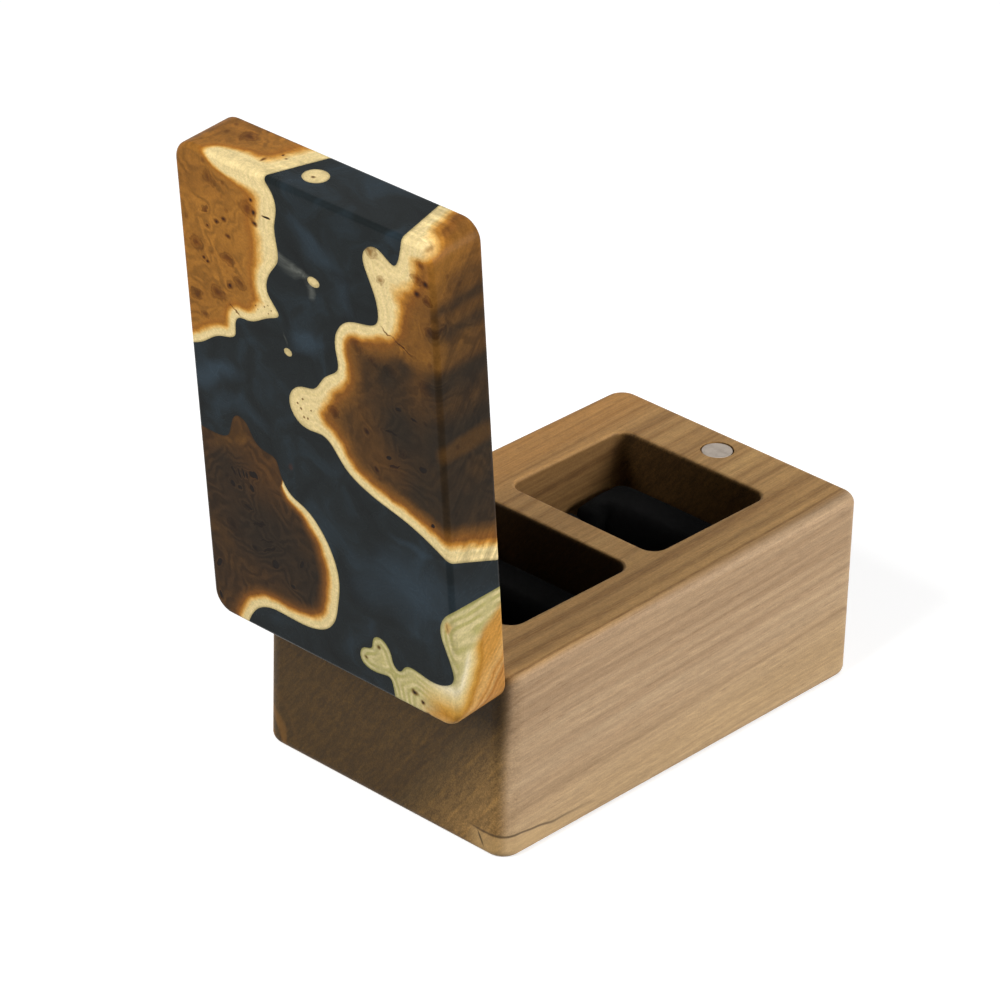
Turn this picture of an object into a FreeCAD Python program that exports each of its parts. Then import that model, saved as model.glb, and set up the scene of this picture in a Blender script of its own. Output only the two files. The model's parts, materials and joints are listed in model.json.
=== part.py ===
"""A wooden ring box: a milled base with two padded pockets, and a hinged lid cast from burl and resin.

Frame: millimetres, +Z up. The origin is the centre of the base's underside. The front, with the magnet,
faces -Y, and the hinges are at +Y. The lid is stored open against its stop. Lid pieces and hinges are drawn
with the lid shut, in a frame of their own whose origin lies on the hinge axis, and are then turned open
about that axis.
"""
import FreeCAD, Part
import os
import Sketcher
from FreeCAD import Placement, Rotation, Vector

# Driving dimensions: name, value and what it is. Lengths are in millimetres, the angle in degrees.
SIZES = [
    ("pocket_width", 36, "ring pocket across, along X"),
    ("pocket_length", 31.4, "ring pocket along Y"),
    ("pocket_depth", 18, "ring pocket below the base's top"),
    ("side_wall", 12, "wood beside the pockets, along X"),
    ("end_wall", 13.15, "wood in front of the front pocket and behind the rear one, along Y"),
    ("partition", 6.4, "wood between the two pockets"),
    ("floor_thickness", 20, "wood under the pockets"),
    ("corner_radius", 4, "upright corners of base and lid, seen from above"),
    ("edge_round", 1.8, "rounding of the base's top and bottom edges"),
    ("pocket_corner_radius", 3, "upright corners of the pockets, hollows, linings and pads"),
    ("pocket_mouth_round", 0.6, "rounding of the pockets' mouths"),
    ("liner_thickness", 1.2, "lining on the pocket floor"),
    ("liner_clearance", 0.3, "gap between the lining or a pad and the pocket's walls"),
    ("pad_height", 6.8, "ring pad at its edges, above the lining"),
    ("pad_crown", 0.7, "rise of a pad's top from its edges to its middle"),
    ("pad_round", 1.6, "rounding of a pad's top edges"),
    ("pad_tuck", 0.7, "rounding of a pad's bottom edges"),
    ("slot_width", 8.6, "slot between the two pads, for a ring's band"),
    ("slot_length", 25, "the same slot along X, closed at both ends"),
    ("slot_corner_radius", 2, "upright corners of the slot, seen from above"),
    ("slit_width", 0.4, "gap between the two pads at each end of the slot"),
    ("lid_thickness", 12.2, "lid, from its underside to its outer face"),
    ("lid_edge_round", 1, "rounding of the lid's edges"),
    ("stop_gap", 0.2, "gap left between the open lid's heel and the base's end face"),
    ("lid_hollow_depth", 7.5, "hollows in the lid's underside, above the rings"),
    ("lid_open_angle", 96, "opening of the lid at its stop"),
    ("magnet_diameter", 6, "base and lid magnets"),
    ("magnet_thickness", 3, "base and lid magnets"),
    ("magnet_edge_round", 0.25, "rounding of a magnet's rims"),
    ("magnet_clearance", 0.2, "gap round a magnet in its bore"),
    ("magnet_setback", 0.1, "magnet face below the wood around it"),
    ("hinge_margin", 11, "side of the base to the near end of a hinge"),
    ("hinge_width", 15, "hinge along its pin"),
    ("knuckle_diameter", 3.4, "hinge knuckles"),
    ("knuckle_clearance", 0.3, "gap round the knuckles in the base, and up to the base's top"),
    ("hinge_setback", 0.2, "knuckle and leaf behind the base's end face"),
    ("centre_knuckle_width", 6, "room for the lid leaf's knuckle between the base leaf's two"),
    ("knuckle_gap", 0.15, "gap at each end of the lid leaf's knuckle"),
    ("pin_diameter", 1.6, "hinge pin"),
    ("pin_clearance", 0.05, "gap round the pin, on the radius"),
    ("pin_end_round", 0.2, "rounding of the pin's ends"),
    ("leaf_thickness", 0.9, "hinge leaves"),
    ("leaf_corner_radius", 1, "free corners of the leaves"),
    ("base_leaf_drop", 7, "base leaf, from the hinge axis down"),
    ("lid_leaf_land", 1.5, "lid wood between the lid leaf and the hollow in front of it"),
    ("mortise_clearance", 0.2, "gap round a leaf in its mortise"),
    ("screw_edge", 2.5, "middle of a screw to its leaf's side, and to the lid leaf's far end"),
    ("screw_head_diameter", 2.8, "countersunk head"),
    ("screw_head_height", 0.7, "countersunk head"),
    ("screw_shank_diameter", 1.4, "screw's body"),
    ("screw_length", 5.5, "screw, head and point included"),
    ("screw_point", 0.9, "screw's pointed end"),
    ("screw_slot_width", 0.4, "slot in a screw's head"),
    ("screw_slot_depth", 0.35, "slot in a screw's head"),
    ("screw_clearance", 0.05, "gap round a screw in its hole"),
    ("front_right_lean_across", 5.5, "shift of this burl towards -X, from outer face to underside"),
    ("front_right_lean_along", 1, "its shift towards the hinge"),
    ("front_left_lean_across", -3.2, "shift of this burl towards -X"),
    ("front_left_lean_along", 3.5, "its shift towards the hinge"),
    ("rear_right_lean_across", 1.5, "shift of this burl towards -X"),
    ("rear_right_lean_along", 0.5, "its shift towards the hinge"),
    ("rear_left_lean_across", -1, "shift of this burl towards -X"),
    ("rear_left_lean_along", 1.5, "its shift towards the hinge"),
    ("large_chip_length", 2.8, "burl chip in the lid's outer face"),
    ("large_chip_width", 1.9, "the same chip across"),
    ("small_chip_length", 1.9, "smaller chip in the outer face"),
    ("small_chip_width", 1.5, "the same chip across"),
    ("end_chip_length", 5, "chip in the lid's free end, along X"),
    ("end_chip_width", 4.4, "the same chip, through the lid's thickness"),
    ("chip_depth", 2, "how deep each chip goes into the resin"),
    ("overrun", 5, "how far cuts run past the faces they go through"),
]

# Outlines of the burl on the lid's outer face. Each point is a share of the lid's width, from the +X side,
# and a share of its length, from the free end. Each outline is open: it starts and ends outside the lid.
BURL_SHARES = {
    "front_right": [
        (0.350, -0.050), (0.358, 0.000), (0.395, 0.030), (0.403, 0.057), (0.391, 0.095), (0.392, 0.165),
        (0.366, 0.188), (0.343, 0.215), (0.345, 0.242), (0.380, 0.277), (0.340, 0.291), (0.250, 0.317),
        (0.212, 0.321), (0.197, 0.338), (0.193, 0.360), (0.125, 0.379), (0.060, 0.405), (-0.080, 0.435),
        (-0.160, 0.448),
    ],
    "front_left": [
        (0.910, -0.050), (0.878, 0.042), (0.858, 0.063), (0.792, 0.044), (0.740, 0.064), (0.752, 0.110),
        (0.780, 0.162), (0.772, 0.199), (0.717, 0.213), (0.650, 0.226), (0.610, 0.256), (0.602, 0.293),
        (0.605, 0.332), (0.550, 0.362), (0.500, 0.398), (0.455, 0.405), (0.410, 0.424), (0.397, 0.453),
        (0.430, 0.485), (0.480, 0.491), (0.528, 0.490), (0.600, 0.533), (0.667, 0.560), (0.750, 0.577),
        (0.817, 0.587), (0.942, 0.617), (1.080, 0.668),
    ],
    "rear_right": [
        (-0.080, 0.604), (0.067, 0.598), (0.125, 0.588), (0.143, 0.559), (0.172, 0.536), (0.205, 0.543),
        (0.227, 0.566), (0.267, 0.585), (0.315, 0.591), (0.335, 0.622), (0.375, 0.656), (0.425, 0.669),
        (0.467, 0.688), (0.508, 0.721), (0.537, 0.763), (0.545, 0.805), (0.533, 0.852), (0.517, 0.888),
        (0.483, 0.916), (0.433, 0.931), (0.300, 0.935), (0.233, 0.938), (0.192, 0.951), (0.162, 0.972),
        (0.125, 1.050),
    ],
    "rear_left": [
        (1.080, 0.690), (1.000, 0.740), (0.960, 0.766), (0.947, 0.792), (0.960, 0.825), (0.983, 0.862),
        (0.985, 0.894), (0.955, 0.910), (0.900, 0.917), (0.842, 0.911), (0.793, 0.916), (0.768, 0.931),
        (0.752, 0.926), (0.740, 0.905), (0.720, 0.884), (0.692, 0.878), (0.670, 0.888), (0.660, 0.909),
        (0.630, 0.917), (0.612, 0.934), (0.620, 0.951), (0.647, 0.959), (0.700, 0.957), (0.730, 0.957),
        (0.740, 0.972), (0.745, 1.000), (0.762, 1.050),
    ],
}
# The point outside the lid's corner through which each outline is closed, further out than the burl leans.
BURL_CORNER_SHARES = {
    "front_right": (-0.160, -0.050),
    "front_left": (1.080, -0.050),
    "rear_right": (-0.080, 1.050),
    "rear_left": (1.080, 1.050),
}
# Middles of the chips: shares of the lid's width and length, and for the end chip of width and thickness.
LARGE_CHIP_SHARES = (0.533, 0.172)
SMALL_CHIP_SHARES = (0.407, 0.345)
END_CHIP_SHARES = (0.475, 0.460)

# Sizes that follow from the driving ones, as expressions.
BASE_WIDTH = "(Sizes.pocket_width + 2 * Sizes.side_wall)"
BASE_LENGTH = "(2 * Sizes.pocket_length + Sizes.partition + 2 * Sizes.end_wall)"
BASE_HEIGHT = "(Sizes.floor_thickness + Sizes.pocket_depth)"
KNUCKLE_RADIUS = "(Sizes.knuckle_diameter / 2)"
KNUCKLE_ROOM = f"({KNUCKLE_RADIUS} + Sizes.knuckle_clearance)"
# The hinge axis lies this far below the base's top and this far in from its end face.
HINGE_DROP = KNUCKLE_ROOM
HINGE_INSET = f"({KNUCKLE_RADIUS} + Sizes.hinge_setback)"
HINGE_Y = f"({BASE_LENGTH} / 2 - {HINGE_INSET})"
HINGE_Z = f"({BASE_HEIGHT} - {HINGE_DROP})"
# The shut lid's underside above the hinge axis: the lid's heel, its rounded lower edge, then just clears
# the base's end face at the stop.
LID_UNDERSIDE = (
    f"((Sizes.stop_gap + Sizes.lid_edge_round + {HINGE_INSET}"
    f" - ({HINGE_INSET} - Sizes.lid_edge_round) * cos(Sizes.lid_open_angle))"
    " / sin(Sizes.lid_open_angle) - Sizes.lid_edge_round)"
)
LID_OUTER_FACE = f"({LID_UNDERSIDE} + Sizes.lid_thickness)"
LID_FREE_END = f"({HINGE_INSET} - {BASE_LENGTH})"
POCKET_MIDDLE = "((Sizes.partition + Sizes.pocket_length) / 2)"
PAD_LENGTH = "((Sizes.pocket_length - Sizes.slit_width) / 2 - Sizes.liner_clearance)"
LINER_TOP = "(Sizes.floor_thickness + Sizes.liner_thickness)"
MAGNET_Y = f"((Sizes.end_wall - {BASE_LENGTH}) / 2)"
LID_MAGNET_Y = f"({MAGNET_Y} - {HINGE_Y})"
MAGNET_BORE_DEPTH = "(Sizes.magnet_thickness + Sizes.magnet_setback)"
BASE_MAGNET_BOTTOM = f"({BASE_HEIGHT} - {MAGNET_BORE_DEPTH})"
MAGNET_BORE_DIAMETER = "(Sizes.magnet_diameter + 2 * Sizes.magnet_clearance)"
PIN_BORE_DIAMETER = "(Sizes.pin_diameter + 2 * Sizes.pin_clearance)"
LID_KNUCKLE_HALF = "(Sizes.centre_knuckle_width / 2 - Sizes.knuckle_gap)"
MORTISE_HALF = "(Sizes.hinge_width / 2 + Sizes.mortise_clearance)"
LEAF_INNER_FACE = f"({KNUCKLE_RADIUS} - Sizes.leaf_thickness)"
LID_LEAF_REACH = f"(Sizes.end_wall - {HINGE_INSET} - Sizes.lid_leaf_land)"
# The base screws sit halfway down the flat part of their leaf, the lid screws near its far end.
BASE_SCREW_DROP = f"(({KNUCKLE_ROOM} + Sizes.base_leaf_drop) / 2)"
LID_SCREW_REACH = f"({LID_LEAF_REACH} - Sizes.screw_edge)"
SCREW_OFFSET = "(Sizes.hinge_width / 2 - Sizes.screw_edge)"
HINGE_OFFSET = f"({BASE_WIDTH} / 2 - Sizes.hinge_margin - Sizes.hinge_width / 2)"

HINGES = {"left": f"-{HINGE_OFFSET}", "right": HINGE_OFFSET}
SCREW_ROWS = {"minus_x": f"-{SCREW_OFFSET}", "plus_x": SCREW_OFFSET}
SCREW_PLACES = {
    f"{side}_{row}": f"({place} + {offset})"
    for side, place in HINGES.items()
    for row, offset in SCREW_ROWS.items()
}
POCKETS = {"front": f"-{POCKET_MIDDLE}", "rear": POCKET_MIDDLE}

# Two places nearer than this count as one when edges are picked out.
SLACK = 10 * Part.Precision.confusion()

doc = FreeCAD.newDocument("ring_box")
sheet = doc.addObject("Spreadsheet::Sheet", "Sizes")
for row, (name, value, note) in enumerate(SIZES, start=1):
    sheet.set(f"A{row}", note)
    sheet.set(f"B{row}", str(value))
    sheet.setAlias(f"B{row}", name)
doc.recompute()


def measure(expression):
    """The value of an expression, for the first guess of a sketch and for shapes set in code."""
    return float(sheet.evalExpression(expression))


# Sketches and features

def new_body(name):
    body = doc.addObject("PartDesign::Body", name)
    body.Label = name
    return body


def new_sketch(body, name, plane="XY_Plane", across="0", up="0", out="0"):
    """A sketch on one of the body's own planes, its origin moved in that plane and out along its normal."""
    sketch = body.newObject("Sketcher::SketchObject", name)
    support = next(item for item in body.Origin.OriginFeatures if item.Role == plane)
    sketch.AttachmentSupport = [(support, "")]
    sketch.MapMode = "FlatFace"
    for axis, text in (("x", across), ("y", up), ("z", out)):
        sketch.setExpression(f"AttachmentOffset.Base.{axis}", text)
    return sketch


def bind(sketch, constraint, expression):
    index = sketch.addConstraint(constraint)
    sketch.setExpression(f"Constraints[{index}]", expression)


def bind_point(sketch, geometry, point, place):
    """Hold a point of the sketch at a place, a pair of expressions from the sketch's origin."""
    for kind, text in zip(("DistanceX", "DistanceY"), place):
        bind(sketch, Sketcher.Constraint(kind, -1, 1, geometry, point, measure(text)), text)


def draw_outline(sketch, corners):
    """A closed run of straight lines through the corners, each a pair of expressions."""
    points = [Vector(measure(x), measure(y), 0) for x, y in corners]
    count = len(points)
    for i in range(count):
        sketch.addGeometry(Part.LineSegment(points[i], points[(i + 1) % count]), False)
    for i in range(count):
        sketch.addConstraint(Sketcher.Constraint("Coincident", i, 2, (i + 1) % count, 1))
    for i, corner in enumerate(corners):
        bind_point(sketch, i, 1, corner)


def draw_box(sketch, left, right, bottom, top):
    draw_outline(sketch, [(left, bottom), (right, bottom), (right, top), (left, top)])


def draw_circle(sketch, place, diameter):
    centre = Vector(measure(place[0]), measure(place[1]), 0)
    index = sketch.addGeometry(Part.Circle(centre, Vector(0, 0, 1), measure(diameter) / 2), False)
    bind_point(sketch, index, 3, place)
    bind(sketch, Sketcher.Constraint("Diameter", index, measure(diameter)), diameter)


def add_pad(body, sketch, length):
    """Raise the sketch along its normal."""
    pad = body.newObject("PartDesign::Pad", sketch.Name + "_pad")
    pad.Profile = sketch
    pad.setExpression("Length", length)
    doc.recompute()
    return pad


def require_cut(body, before):
    if body.Shape.Volume >= before:
        raise RuntimeError(f"{body.Tip.Name} cuts nothing")


def add_pocket(body, sketch, length):
    """Cut along the sketch's normal."""
    before = body.Shape.Volume
    pocket = body.newObject("PartDesign::Pocket", sketch.Name + "_cut")
    pocket.Profile = sketch
    pocket.Reversed = True
    pocket.setExpression("Length", length)
    doc.recompute()
    require_cut(body, before)
    return pocket


def add_turned(body, sketch, kind, axis):
    """Turn the sketch right round one of its own axes, as solid or as a cut."""
    feature = body.newObject(f"PartDesign::{kind}", f"{sketch.Name}_{kind.lower()}")
    feature.Profile = sketch
    feature.ReferenceAxis = (sketch, [axis])
    feature.Angle = 360
    doc.recompute()
    return feature


def add_fillet(body, radius, chosen):
    """Round the edges of the body that chosen accepts."""
    base = body.Tip
    names = [f"Edge{i}" for i, edge in enumerate(base.Shape.Edges, start=1) if chosen(edge)]
    if not names:
        raise RuntimeError(f"{body.Name} has no edge to round")
    fillet = body.newObject("PartDesign::Fillet", f"{body.Name}_round")
    fillet.Base = (base, names)
    fillet.setExpression("Radius", radius)
    doc.recompute()
    return fillet


def close(a, b):
    return abs(a - b) < SLACK


def is_upright(edge):
    """A straight edge along Z."""
    first, last = edge.firstVertex().Point, edge.lastVertex().Point
    return close(first.x, last.x) and close(first.y, last.y) and not close(first.z, last.z)


def is_level_at(edge, height):
    box = edge.BoundBox
    return close(box.ZMin, height) and close(box.ZMax, height)


def is_within(edge, half_width, middle, half_length):
    """Inside a rectangle about a point of the Y axis, seen from above."""
    box = edge.BoundBox
    return (max(-box.XMin, box.XMax) <= half_width + SLACK
            and max(middle - box.YMin, box.YMax - middle) <= half_length + SLACK)


def place_at_hinge(thing, across="0", with_lid=False):
    """Put a piece drawn about the hinge axis in its place, and turn it open if it moves with the lid."""
    angle = measure("Sizes.lid_open_angle") if with_lid else 0
    thing.Placement = Placement(Vector(0, 0, 0), Rotation(Vector(-1, 0, 0), angle))
    for axis, text in (("x", across), ("y", HINGE_Y), ("z", HINGE_Z)):
        thing.setExpression(f"Placement.Base.{axis}", text)
    if with_lid:
        thing.setExpression("Placement.Rotation.Angle", "Sizes.lid_open_angle")


# Screws and their holes

def screw_outline(as_hole):
    """Half the section of a screw or its hole: distances in from the head's face and out from the axis."""
    clearance = "Sizes.screw_clearance" if as_hole else "0"
    shank = f"(Sizes.screw_shank_diameter / 2 + {clearance})"
    head = f"(Sizes.screw_head_diameter / 2 + {clearance})"
    neck = f"(Sizes.screw_length - Sizes.screw_point + {clearance})"
    tip = f"(Sizes.screw_length + {clearance})"
    mouth = [("-Sizes.overrun", "0"), ("-Sizes.overrun", head)] if as_hole else [("0", "0")]
    return mouth + [("0", head), ("Sizes.screw_head_height", shank), (neck, shank), (tip, "0")]


def draw_base_screw(sketch, as_hole=False):
    """A screw driven towards the front, its head flush with the base leaf."""
    outline = screw_outline(as_hole)
    draw_outline(sketch, [(f"({KNUCKLE_RADIUS} - {depth})", radius) for depth, radius in outline])


def draw_lid_screw(sketch, as_hole=False):
    """A screw driven up into the lid, its head flush with the lid leaf."""
    outline = screw_outline(as_hole)
    draw_outline(sketch, [(radius, f"({LID_UNDERSIDE} + {depth})") for depth, radius in outline])


def base_screw_sketch(body, name, across, behind="0", above="0"):
    up = f"{above} - {BASE_SCREW_DROP}"
    return new_sketch(body, name, "YZ_Plane", behind, up, across)


def lid_screw_sketch(body, name, across):
    forward = f"-{LID_SCREW_REACH}"
    return new_sketch(body, name, "YZ_Plane", forward, "0", across)


def cut_screw_hole(body, sketch, draw, axis):
    before = body.Shape.Volume
    draw(sketch, as_hole=True)
    add_turned(body, sketch, "Groove", axis)
    require_cut(body, before)


def make_screws(node, make_sketch, draw, axis, with_lid):
    """All the screws of one kind, as a group of separate solids."""
    screws = []
    for name, across in SCREW_PLACES.items():
        body = new_body(f"{node}_{name}")
        section = make_sketch(body, f"{body.Name}_section", "0")
        draw(section)
        add_turned(body, section, "Revolution", axis)
        cut_screw_slot(body, with_lid)
        place_at_hinge(body, across, with_lid)
        screws.append(body)
    group = doc.addObject("Part::Compound", node)
    group.Label = node
    group.Links = screws
    return group


def cut_screw_slot(body, with_lid):
    """The driver's slot across the head of a screw, along X."""
    half = "Sizes.screw_slot_width / 2"
    reach = "Sizes.screw_head_diameter"
    slot = new_sketch(body, f"{body.Name}_slot", "YZ_Plane", "0", "0", f"-{reach}")
    if with_lid:
        middle = f"-{LID_SCREW_REACH}"
        draw_box(slot, f"({middle} - {half})", f"({middle} + {half})",
                 f"({LID_UNDERSIDE} - Sizes.overrun)", f"({LID_UNDERSIDE} + Sizes.screw_slot_depth)")
    else:
        middle = f"-{BASE_SCREW_DROP}"
        draw_box(slot, f"({KNUCKLE_RADIUS} - Sizes.screw_slot_depth)",
                 f"({KNUCKLE_RADIUS} + Sizes.overrun)", f"({middle} - {half})", f"({middle} + {half})")
    add_pocket(body, slot, f"2 * {reach}")


# The base

def cut_hollow(body, name, middle, floor, depth):
    """A rounded rectangular hollow over a pocket's place, cut up from its floor."""
    sketch = new_sketch(body, name, out=floor)
    draw_box(sketch, "-Sizes.pocket_width / 2", "Sizes.pocket_width / 2",
             f"({middle} - Sizes.pocket_length / 2)", f"({middle} + Sizes.pocket_length / 2)")
    add_pocket(body, sketch, depth)
    half_width = measure("Sizes.pocket_width / 2")
    half_length = measure("Sizes.pocket_length / 2")
    place = measure(middle)
    add_fillet(body, "Sizes.pocket_corner_radius",
               lambda edge: is_upright(edge) and is_within(edge, half_width, place, half_length))
    return lambda edge: is_within(edge, half_width, place, half_length)


def cut_hinge_mortise(body, side, across):
    """Room for the knuckles, open at the top and the end, and below it the flat seat of the base leaf."""
    sketch = new_sketch(body, f"{side}_hinge_mortise", "YZ_Plane", HINGE_Y, HINGE_Z,
                        f"({across} - {MORTISE_HALF})")
    outside = f"({HINGE_INSET} + Sizes.overrun)"
    above = f"({HINGE_DROP} + Sizes.overrun)"
    foot = "-(Sizes.base_leaf_drop + Sizes.mortise_clearance)"
    room = f"-{KNUCKLE_ROOM}"
    draw_outline(sketch, [(outside, above), (room, above), (room, room),
                          (LEAF_INNER_FACE, room), (LEAF_INNER_FACE, foot), (outside, foot)])
    add_pocket(body, sketch, f"2 * {MORTISE_HALF}")


def make_base_block():
    body = new_body("base_block")
    plan = new_sketch(body, "base_plan")
    draw_box(plan, f"-{BASE_WIDTH} / 2", f"{BASE_WIDTH} / 2",
             f"-{BASE_LENGTH} / 2", f"{BASE_LENGTH} / 2")
    add_pad(body, plan, BASE_HEIGHT)
    add_fillet(body, "Sizes.corner_radius", is_upright)
    top = measure(BASE_HEIGHT)
    add_fillet(body, "Sizes.edge_round",
               lambda edge: is_level_at(edge, 0) or is_level_at(edge, top))
    for name, middle in POCKETS.items():
        inside = cut_hollow(body, f"{name}_pocket", middle, "Sizes.floor_thickness",
                            "Sizes.pocket_depth + Sizes.overrun")
        add_fillet(body, "Sizes.pocket_mouth_round",
                   lambda edge: inside(edge) and is_level_at(edge, top))
    bore = new_sketch(body, "base_magnet_bore", out=BASE_MAGNET_BOTTOM)
    draw_circle(bore, ("0", MAGNET_Y), MAGNET_BORE_DIAMETER)
    add_pocket(body, bore, f"{MAGNET_BORE_DEPTH} + Sizes.overrun")
    for side, across in HINGES.items():
        cut_hinge_mortise(body, side, across)
    for name, across in SCREW_PLACES.items():
        hole = base_screw_sketch(body, f"base_screw_hole_{name}", across, HINGE_Y, HINGE_Z)
        cut_screw_hole(body, hole, draw_base_screw, "H_Axis")
    return body


def make_liner(name, middle):
    """The black lining on the floor of a pocket."""
    body = new_body(f"{name}_pocket_liner")
    sketch = new_sketch(body, f"{name}_liner_plan", out="Sizes.floor_thickness")
    half_width = "(Sizes.pocket_width / 2 - Sizes.liner_clearance)"
    half_length = "(Sizes.pocket_length / 2 - Sizes.liner_clearance)"
    draw_box(sketch, f"-{half_width}", half_width,
             f"({middle} - {half_length})", f"({middle} + {half_length})")
    add_pad(body, sketch, "Sizes.liner_thickness")
    add_fillet(body, "Sizes.pocket_corner_radius", is_upright)
    return body


def draw_pad_section(sketch):
    """A pad's section along Y: flat below, straight at the sides, and crowned on top."""
    half = f"({PAD_LENGTH} / 2)"
    height = "Sizes.pad_height"
    corners = [(f"-{half}", height), (f"-{half}", "0"), (half, "0"), (half, height)]
    points = [Vector(measure(x), measure(y), 0) for x, y in corners]
    for i in range(3):
        sketch.addGeometry(Part.LineSegment(points[i], points[i + 1]), False)
    peak = Vector(0, measure("Sizes.pad_height + Sizes.pad_crown"), 0)
    crown = sketch.addGeometry(Part.Arc(points[3], peak, points[0]), False)
    for i in range(2):
        sketch.addConstraint(Sketcher.Constraint("Coincident", i, 2, i + 1, 1))
    sketch.addConstraint(Sketcher.Constraint("Coincident", 2, 2, crown, 1))
    sketch.addConstraint(Sketcher.Constraint("Coincident", crown, 2, 0, 1))
    for i in range(3):
        bind_point(sketch, i, 1, corners[i])
    bind_point(sketch, 2, 2, corners[3])
    radius = f"({half} * {half} + Sizes.pad_crown * Sizes.pad_crown) / (2 * Sizes.pad_crown)"
    bind(sketch, Sketcher.Constraint("Radius", crown, measure(radius)), radius)


def make_ring_pad(pocket, end, middle):
    """One of the two velvet pads of a pocket, with half of the ring's slot cut into its inner side."""
    sign = "-" if end == "front" else "+"
    body = new_body(f"{pocket}_ring_pad_{end}")
    half_width = "(Sizes.pocket_width / 2 - Sizes.liner_clearance)"
    sketch = new_sketch(body, f"{body.Name}_section", "YZ_Plane",
                        f"{middle} {sign} (Sizes.slit_width + {PAD_LENGTH}) / 2",
                        LINER_TOP, f"-{half_width}")
    draw_pad_section(sketch)
    add_pad(body, sketch, f"2 * {half_width}")
    inner = measure(middle)
    near = measure("Sizes.slot_width")
    add_fillet(body, "Sizes.pocket_corner_radius",
               lambda edge: is_upright(edge) and abs(edge.BoundBox.YMin - inner) > near)
    slot = new_sketch(body, f"{body.Name}_slot", out=f"({LINER_TOP} - Sizes.overrun)")
    sides = sorted([middle, f"({middle} {sign} Sizes.slot_width / 2)"], key=measure)
    draw_box(slot, "-Sizes.slot_length / 2", "Sizes.slot_length / 2", *sides)
    add_pocket(body, slot, "Sizes.pad_height + Sizes.pad_crown + 2 * Sizes.overrun")
    half_slot = measure("Sizes.slot_length / 2")
    add_fillet(body, "Sizes.slot_corner_radius",
               lambda edge: is_upright(edge) and is_within(edge, half_slot, inner, near))
    floor = measure(LINER_TOP)
    halfway = measure(f"{LINER_TOP} + Sizes.pad_height / 2")
    add_fillet(body, "Sizes.pad_round", lambda edge: edge.BoundBox.ZMin > halfway)
    add_fillet(body, "Sizes.pad_tuck", lambda edge: is_level_at(edge, floor))
    return body


def make_magnet(name, along, bottom):
    body = new_body(name)
    sketch = new_sketch(body, f"{name}_plan", out=bottom)
    draw_circle(sketch, ("0", along), "Sizes.magnet_diameter")
    add_pad(body, sketch, "Sizes.magnet_thickness")
    add_fillet(body, "Sizes.magnet_edge_round", lambda edge: not is_upright(edge))
    return body


# The hinges

def pad_across(body, name, draw, half):
    """Draw a section of a hinge and raise it along the pin, half to each side of the hinge's middle."""
    sketch = new_sketch(body, name, "YZ_Plane", out=f"-{half}")
    draw(sketch)
    add_pad(body, sketch, f"2 * {half}")


def bore_for_pin(body):
    sketch = new_sketch(body, f"{body.Name}_bore", "YZ_Plane", out="-Sizes.hinge_width")
    draw_circle(sketch, ("0", "0"), PIN_BORE_DIAMETER)
    add_pocket(body, sketch, "2 * Sizes.hinge_width")


def round_leaf_corners(body, along, end):
    """Round the two free corners of a leaf, the edges through its thickness at its far end."""
    half = measure("Sizes.hinge_width / 2")
    far = measure(end)

    def at_corner(edge):
        first, last = edge.firstVertex().Point, edge.lastVertex().Point
        return (close(abs(first.x), half) and close(first.x, last.x)
                and close(getattr(first, along), far) and close(getattr(last, along), far))
    add_fillet(body, "Sizes.leaf_corner_radius", at_corner)


def make_base_leaf(side, across):
    """The fixed leaf: it lies in the base's end face and carries the two outer knuckles."""
    body = new_body(f"{side}_hinge_base_leaf")
    half = "(Sizes.hinge_width / 2)"
    pad_across(body, f"{body.Name}_plate", lambda sketch: draw_box(
        sketch, LEAF_INNER_FACE, KNUCKLE_RADIUS, "-Sizes.base_leaf_drop", "0"), half)
    pad_across(body, f"{body.Name}_knuckle", lambda sketch: draw_circle(
        sketch, ("0", "0"), "Sizes.knuckle_diameter"), half)
    gap = new_sketch(body, f"{body.Name}_gap", "YZ_Plane", out="-Sizes.centre_knuckle_width / 2")
    draw_box(gap, f"-{KNUCKLE_ROOM}", KNUCKLE_ROOM, f"-{KNUCKLE_ROOM}", KNUCKLE_ROOM)
    add_pocket(body, gap, "Sizes.centre_knuckle_width")
    bore_for_pin(body)
    round_leaf_corners(body, "z", "-Sizes.base_leaf_drop")
    for row, offset in SCREW_ROWS.items():
        hole = base_screw_sketch(body, f"{body.Name}_hole_{row}", offset)
        cut_screw_hole(body, hole, draw_base_screw, "H_Axis")
    place_at_hinge(body, across)
    return body


def make_lid_leaf(side, across):
    """The moving leaf: let into the lid's underside, with a web down to the middle knuckle."""
    body = new_body(f"{side}_hinge_lid_leaf")
    web_front = f"-{KNUCKLE_RADIUS}"
    web_back = f"(Sizes.leaf_thickness - {KNUCKLE_RADIUS})"
    plate_top = f"({LID_UNDERSIDE} + Sizes.leaf_thickness)"
    plate_end = f"-{LID_LEAF_REACH}"
    pad_across(body, f"{body.Name}_plate", lambda sketch: draw_box(
        sketch, plate_end, web_back, LID_UNDERSIDE, plate_top), "(Sizes.hinge_width / 2)")
    pad_across(body, f"{body.Name}_web", lambda sketch: draw_box(
        sketch, web_front, web_back, "0", plate_top), LID_KNUCKLE_HALF)
    pad_across(body, f"{body.Name}_knuckle", lambda sketch: draw_circle(
        sketch, ("0", "0"), "Sizes.knuckle_diameter"), LID_KNUCKLE_HALF)
    bore_for_pin(body)
    round_leaf_corners(body, "y", plate_end)
    for row, offset in SCREW_ROWS.items():
        hole = lid_screw_sketch(body, f"{body.Name}_hole_{row}", offset)
        cut_screw_hole(body, hole, draw_lid_screw, "V_Axis")
    place_at_hinge(body, across, with_lid=True)
    return body


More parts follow.
